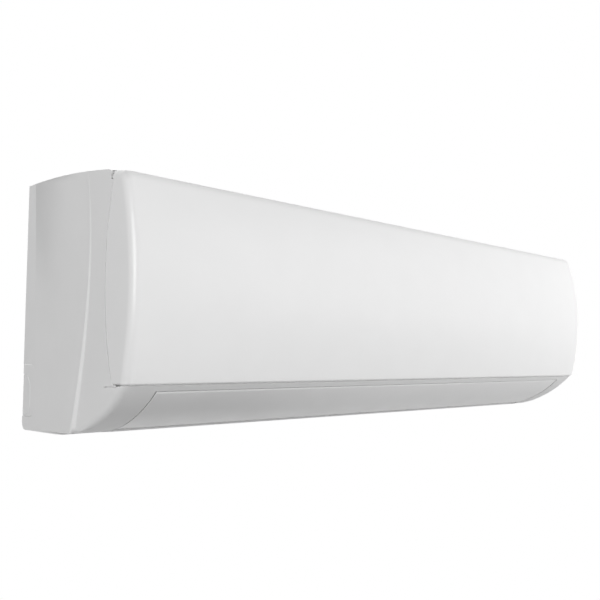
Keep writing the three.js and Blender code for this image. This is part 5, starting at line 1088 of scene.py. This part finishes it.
@dataclass
class CaseFrame:
    """What the smooth skins leave of the case: its top, back rims, bottom and inner frame."""

    section: Section
    source: bpy.types.Object
    node: str = "outer_case"
    merge: float = 0.002
    shading_angle: float = 24.0
    front_of_crease: float = 0.3
    crease_span: Pair = (-147.0, 140.0)
    end_from: float = 469.0
    end_slope: float = 0.2
    end_top: float = 139.0
    arc_slack: float = 0.6
    chin_rear: float = -126.0
    chin_lift: float = 0.5
    chin_slope: float = -0.1

    def build(self) -> bpy.types.Object:
        """Copies the case's mesh, merges it, and takes off the faces that the skins replace.

        Returns:
            The frame that is left, dressed.
        """
        thing = link_object("case_frame", self.source.data.copy())
        merge_points(thing, self.merge)
        mesh = thing.data
        count = len(mesh.polygons)
        centre = np.empty(count * 3)
        normal = np.empty(count * 3)
        mesh.polygons.foreach_get("center", centre)
        mesh.polygons.foreach_get("normal", normal)
        drop = np.flatnonzero(self.outer(centre.reshape(-1, 3) / MM, normal.reshape(-1, 3)))
        with edited(thing) as work:
            work.faces.ensure_lookup_table()
            bmesh.ops.delete(work, geom=[work.faces[i] for i in drop.tolist()], context="FACES")
        sharpen(thing, self.shading_angle)
        dress(thing, "chassis", "case_abs", self.node)
        LOG.info("case frame keeps %d of %d faces", len(mesh.polygons), count)
        return thing

    def outer(self, centre: Array, normal: Array) -> Array:
        """Which faces belong to the end faces, the rounding or the chin that are replaced.

        A face of an end lies ahead of the crease, near the end, and looks sideways. A face
        of the chin lies on its arc, above the lip, and looks down.

        Args:
            centre: Middle of each face in millimetres.
            normal: Normal of each face.

        Returns:
            A truth value for each face.
        """
        s = self.section
        x, y, z = centre.T
        crease_y, _ = s.crease_at(np.clip(z, *self.crease_span))
        sideways = normal[:, 0] * np.sign(x)
        end = ((y < crease_y - self.front_of_crease) & (np.abs(x) > self.end_from)
               & (sideways > self.end_slope) & (z < self.end_top))
        reach = np.hypot(y - s.chin_centre[0], z - s.chin_centre[1])
        chin = ((np.abs(reach - s.chin_radius) < self.arc_slack) & (y < self.chin_rear)
                & (z < s.chin_top + self.chin_lift) & (normal[:, 2] < self.chin_slope))
        return end | chin


# ---------------------------------------------------------------- outlet flap


@dataclass
class OutletFlap:
    """The curved flap along the chin, a lens in section with rolled edges and ends."""

    section: Section
    half: float = 436.5
    top_depth: float = 220.5
    foot_depth: float = 138.5
    middle: float = 7.0
    edge: float = 1.6
    edge_rate: float = 40.0
    pivot: Pair = (-152.0, -128.0073)
    steps: int = 60
    end_roll: float = 0.7
    end_inset: float = 0.6
    roll_steps: int = 5
    straight_from: float = 2.0
    straight_steps: int = 36
    arm_radius: float = 6.0
    arm_turn: Pair = (-0.5, math.pi + 0.3)
    arm_foot: Pair = (168.0, 141.0)
    arm_sink: float = 1.2
    arm_span: Pair = (0.1, 3.0)
    pin_radius: float = 3.0
    pin_stations: tuple[Pair, ...] = ((-4.0, 1.0), (7.4, 1.0), (8.0, 0.85))

    def loop(self, inset: float) -> Array:
        """The closed section drawn in by an inset: outer arc, then inner arc back.

        The inner face stands off the outer by edge + (middle - edge) times the sine of the
        share of the way across, and both ends close on a half round.

        Args:
            inset: Distance in millimetres.

        Returns:
            Points (y, z), twice as many as there are steps.
        """
        s = self.section
        angle = np.linspace(float(s.chin_angle(self.top_depth - inset)),
                            float(s.chin_angle(self.foot_depth + inset)), self.steps)
        share = np.linspace(0.0, 1.0, self.steps)
        wall = self.edge + (self.middle - self.edge) * np.sin(np.pi * share)
        near_end = np.maximum(1 - np.minimum(share, 1 - share) * self.edge_rate, 0.0)
        ends = 0.5 * self.edge * (1 - np.sqrt(1 - near_end ** 2))
        outer = polar(s.chin_centre, s.chin_radius - inset - ends, angle)
        inner = polar(s.chin_centre, s.chin_radius - wall + inset + ends, angle)
        return np.concatenate([outer, inner[::-1]])

    def build(self) -> bpy.types.Object:
        """Carries the section along X, rolling it in over the last millimetre at each end.

        Returns:
            The blade, dressed.
        """
        turn = np.pi / 2 - band(0.0, np.pi / 2, self.roll_steps)
        roll_x = self.half - self.end_roll * (1 - np.sin(turn))
        roll = np.minimum(self.end_roll * (1 - np.cos(turn)), self.end_inset)
        straight = self.half - self.straight_from
        middle = band(-straight, straight, self.straight_steps)
        x = np.concatenate([-roll_x, middle, roll_x[::-1]])
        insets = np.concatenate([roll, np.zeros(len(middle)), roll[::-1]])
        tubes = Tubes()
        loops = [slice_at(place, self.loop(inset)) for place, inset in zip(x, insets)]
        tubes.add(np.stack(loops), caps=False)
        tubes.faces += self.caps(len(x))
        thing = tubes.make("air_flap_blade", 50.0)
        dress(thing, "air_flap", "panel_abs", "air_flap")
        return thing

    def caps(self, stations: int) -> list[list[int]]:
        """Quads between the outer and inner arc at both ends.

        Args:
            stations: Number of loops along the blade.

        Returns:
            Point numbers of each quad.
        """
        count = 2 * self.steps
        k = np.arange(self.steps - 1)
        quads = np.stack([k, k + 1, count - 2 - k, count - 1 - k], axis=-1)
        return quads.tolist() + (quads[:, ::-1] + (stations - 1) * count).tolist()

    def fittings(self) -> bpy.types.Object:
        """Makes the two arms and the pins that they turn on.

        Returns:
            Arms and pins as one piece, dressed.
        """
        s = self.section
        head = polar(self.pivot, self.arm_radius, np.linspace(*self.arm_turn, 22))
        foot = polar(s.chin_centre, s.chin_radius - self.arm_sink,
                     s.chin_angle(np.linspace(*self.arm_foot, 10)))
        outline = np.concatenate([head, foot])
        tubes = Tubes()
        for side in Side:
            plates = [side.value * (self.half - inset) for inset in self.arm_span]
            tubes.add(np.stack([slice_at(x, outline) for x in plates]))
            tubes.add(np.stack([
                slice_at(side.value * (self.half + beyond), ring(self.pivot, self.pin_radius * k))
                for beyond, k in self.pin_stations]))
        thing = tubes.make("air_flap_arms", 40.0)
        dress(thing, "air_flap", "panel_abs")
        return thing


# ---------------------------------------------------------------- everything else


@dataclass
class KnockOuts:
    """The break-out plates of the ends, with rolled edges that leave a faint groove."""

    nodes: dict[str, bpy.types.Object]
    merge: float = 0.002
    roll: float = 1.5
    roll_segments: int = 4
    roll_angle: float = 50.0
    shading_angle: float = 30.0

    def build(self) -> list[bpy.types.Object]:
        """Copies each plate's mesh, merges it and rolls its edges.

        Returns:
            The four plates, dressed.
        """
        made = []
        for name in (f"pipe_knockout_{side.label}_{part}"
                     for side in Side for part in ("outer", "inner")):
            thing = link_object(f"{name}_plate", self.nodes[name].data.copy())
            merge_points(thing, self.merge)
            dissolve_flat(thing)
            sharpen(thing, self.shading_angle)
            roll_edges(thing, self.roll, self.roll_segments, self.roll_angle)
            dress(thing, "chassis", "case_abs", name)
            made.append(thing)
        return made


@dataclass
class FrameNodes:
    """The CAD nodes that keep their own shape and get the real material of their slot."""

    nodes: dict[str, bpy.types.Object]
    slots: dict[str, str]

    def build(self) -> int:
        """Puts the finish of its slot on each node.

        Returns:
            How many were dressed.
        """
        for name, thing in self.nodes.items():
            material = FINISH_OF_SLOT[self.slots[name]].build()
            if not thing.material_slots:
                thing.data.materials.append(material)
            for slot in thing.material_slots:
                slot.material = material
        return len(self.nodes)


@dataclass(frozen=True)
class Lamp:
    """A square soft light at a place, turned to a target, in metres and watts."""

    name: str
    place: Triple
    target: Triple
    size: float
    power: float
    mirrored: bool = True

    def build(self) -> None:
        """Sets the light up; glossy skins show it only where it is mirrored."""
        light = bpy.data.lights.new(self.name, "AREA")
        light.shape = "SQUARE"
        light.size = self.size
        light.energy = self.power
        thing = link_object(self.name, light)
        thing.location = self.place
        thing.visible_glossy = self.mirrored
        away = np.array(self.target) - np.array(self.place)
        thing.rotation_euler = (math.acos(-away[2] / np.linalg.norm(away)), 0.0,
                                math.atan2(away[1], away[0]) - math.pi / 2)


@dataclass
class Studio:
    """Floor, white surround, soft lights and the camera at the photograph's angle.

    Lengths are metres, but for the camera's lens and sensor, and the lamps' too.
    """

    floor_z: float = -1.6
    floor_half: float = 1.75
    floor_middle: Pair = (-0.5, -0.9)
    floor_steps: int = 12
    floor_lift: float = 0.55
    camera_place: Triple = (-0.87134, -0.89031, -0.0717)
    yaw: float = 43.88
    pitch: float = 4.985
    lens: float = 44.4
    sensor: float = 36.0
    near: float = 0.01
    sky: float = 0.36
    ground: float = 0.04
    sky_span: float = 0.5
    lamps: tuple[Lamp, ...] = (
        Lamp("key", (1.6, -1.75, 0.5), (0.3, -0.2, 0.0), 1.4, 34.0, mirrored=False),
        Lamp("fill", (-2.55, -2.1, 0.6), (-0.4, -0.1, 0.0), 1.6, 53.0),
        Lamp("rear", (0.0, 1.6, 2.4), (0.0, -0.1, 0.0), 2.0, 8.0),
    )

    def floor(self) -> bpy.types.Object:
        """A pale matt floor well below the unit, lightened where the camera sees it.

        Returns:
            The floor.
        """
        half = self.floor_half / MM
        line = band(-half, half, self.floor_steps)
        y, x = np.meshgrid(line, line, indexing="ij")
        grid = np.dstack([x + self.floor_middle[0] / MM, y + self.floor_middle[1] / MM,
                          np.full_like(x, self.floor_z / MM)])
        thing = make_object("studio_floor", grid.reshape(-1, 3), grid_faces(*grid.shape[:2]),
                            inside=(0.0, 0.0, -9000.0))
        paper = Finish("matt_paper", "#C4C4C4", "#BEBEBE", 0.8,
                       drift=400.0, grain=3.0, relief=0.05).build()
        tree = paper.node_tree
        seen = add_node(tree, "ShaderNodeLightPath").outputs["Is Camera Ray"]
        lift = add_node(tree, "ShaderNodeMath", {"operation": "MULTIPLY", 1: self.floor_lift},
                        {0: seen})
        shader = tree.nodes["Principled BSDF"]
        shader.inputs["Emission Color"].default_value = linear("#FFFFFF")
        tree.links.new(lift.outputs[0], shader.inputs["Emission Strength"])
        thing.data.materials.append(paper)
        return thing

    def surround(self) -> None:
        """Makes the world: white to the camera and to reflections.

        As a light it is softer, and it dims from the sky's strength to the ground's.
        """
        world = bpy.data.worlds.new("studio_surround")
        world.use_nodes = True
        tree = world.node_tree
        tree.nodes.clear()
        path = add_node(tree, "ShaderNodeLightPath").outputs
        seen = path["Is Camera Ray"]
        for ray in ("Is Glossy Ray", "Is Transmission Ray"):
            seen = add_node(tree, "ShaderNodeMath", {"operation": "MAXIMUM"},
                            {0: seen, 1: path[ray]}).outputs[0]
        toward = add_node(tree, "ShaderNodeNewGeometry").outputs["Incoming"]
        height = add_node(tree, "ShaderNodeSeparateXYZ", None, {0: toward}).outputs["Z"]
        glow = add_node(tree, "ShaderNodeMapRange", {
            "From Min": -self.sky_span, "From Max": self.sky_span,
            "To Min": self.ground, "To Max": self.sky}, {"Value": height})
        light = add_node(tree, "ShaderNodeBackground", {"Color": linear("#FFFFFF")},
                         {"Strength": glow.outputs["Result"]})
        white = add_node(tree, "ShaderNodeBackground",
                         {"Color": linear("#FFFFFF"), "Strength": 1.0})
        mixed = add_node(tree, "ShaderNodeMixShader", None, {
            0: seen, 1: light.outputs[0], 2: white.outputs[0]})
        add_node(tree, "ShaderNodeOutputWorld", None, {"Surface": mixed.outputs[0]})
        bpy.context.scene.world = world

    def camera(self) -> None:
        """The camera at the place, turn and lens worked out from the photograph."""
        lens = bpy.data.cameras.new("camera")
        lens.lens = self.lens
        lens.sensor_width = self.sensor
        lens.sensor_fit = "HORIZONTAL"
        lens.clip_start = self.near
        thing = link_object("camera", lens)
        thing.location = self.camera_place
        thing.rotation_euler = (math.radians(90.0 + self.pitch), 0.0, math.radians(-self.yaw))
        bpy.context.scene.camera = thing

    def build(self) -> None:
        """Sets the whole studio up."""
        self.camera()
        self.floor()
        self.surround()
        for lamp in self.lamps:
            lamp.build()
        bpy.context.scene.view_settings.view_transform = "Standard"


def slots_of(record: dict) -> dict[str, str]:
    """The material slot of every node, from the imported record."""
    return {part["node"]: part["material_slot"] for part in record["subparts"]}


def main() -> None:
    """Loads the frame and builds every sub-assembly in order."""
    logging.basicConfig(level=logging.INFO, format="%(name)s: %(message)s")
    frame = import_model()
    section = Section()
    Studio().build()
    LOG.info("studio ready")
    count = FrameNodes(frame["nodes"], slots_of(frame["record"])).build()
    LOG.info("%d nodes dressed", count)
    case = CaseFrame(section, frame["nodes"]["outer_case"]).build()
    LOG.info("built %s", case.name)
    skins = CaseSkins(section)
    for side in Side:
        LOG.info("built %s and %s", skins.cheek(side).name, skins.chin(side).name)
    panel = FrontPanel(section)
    LOG.info("built %s and %s", panel.build().name, panel.fittings().name)
    LOG.info("built %d knock-out plates", len(KnockOuts(frame["nodes"]).build()))
    flap = OutletFlap(section)
    LOG.info("built %s and %s", flap.build().name, flap.fittings().name)


if __name__ == "__main__":
    main()
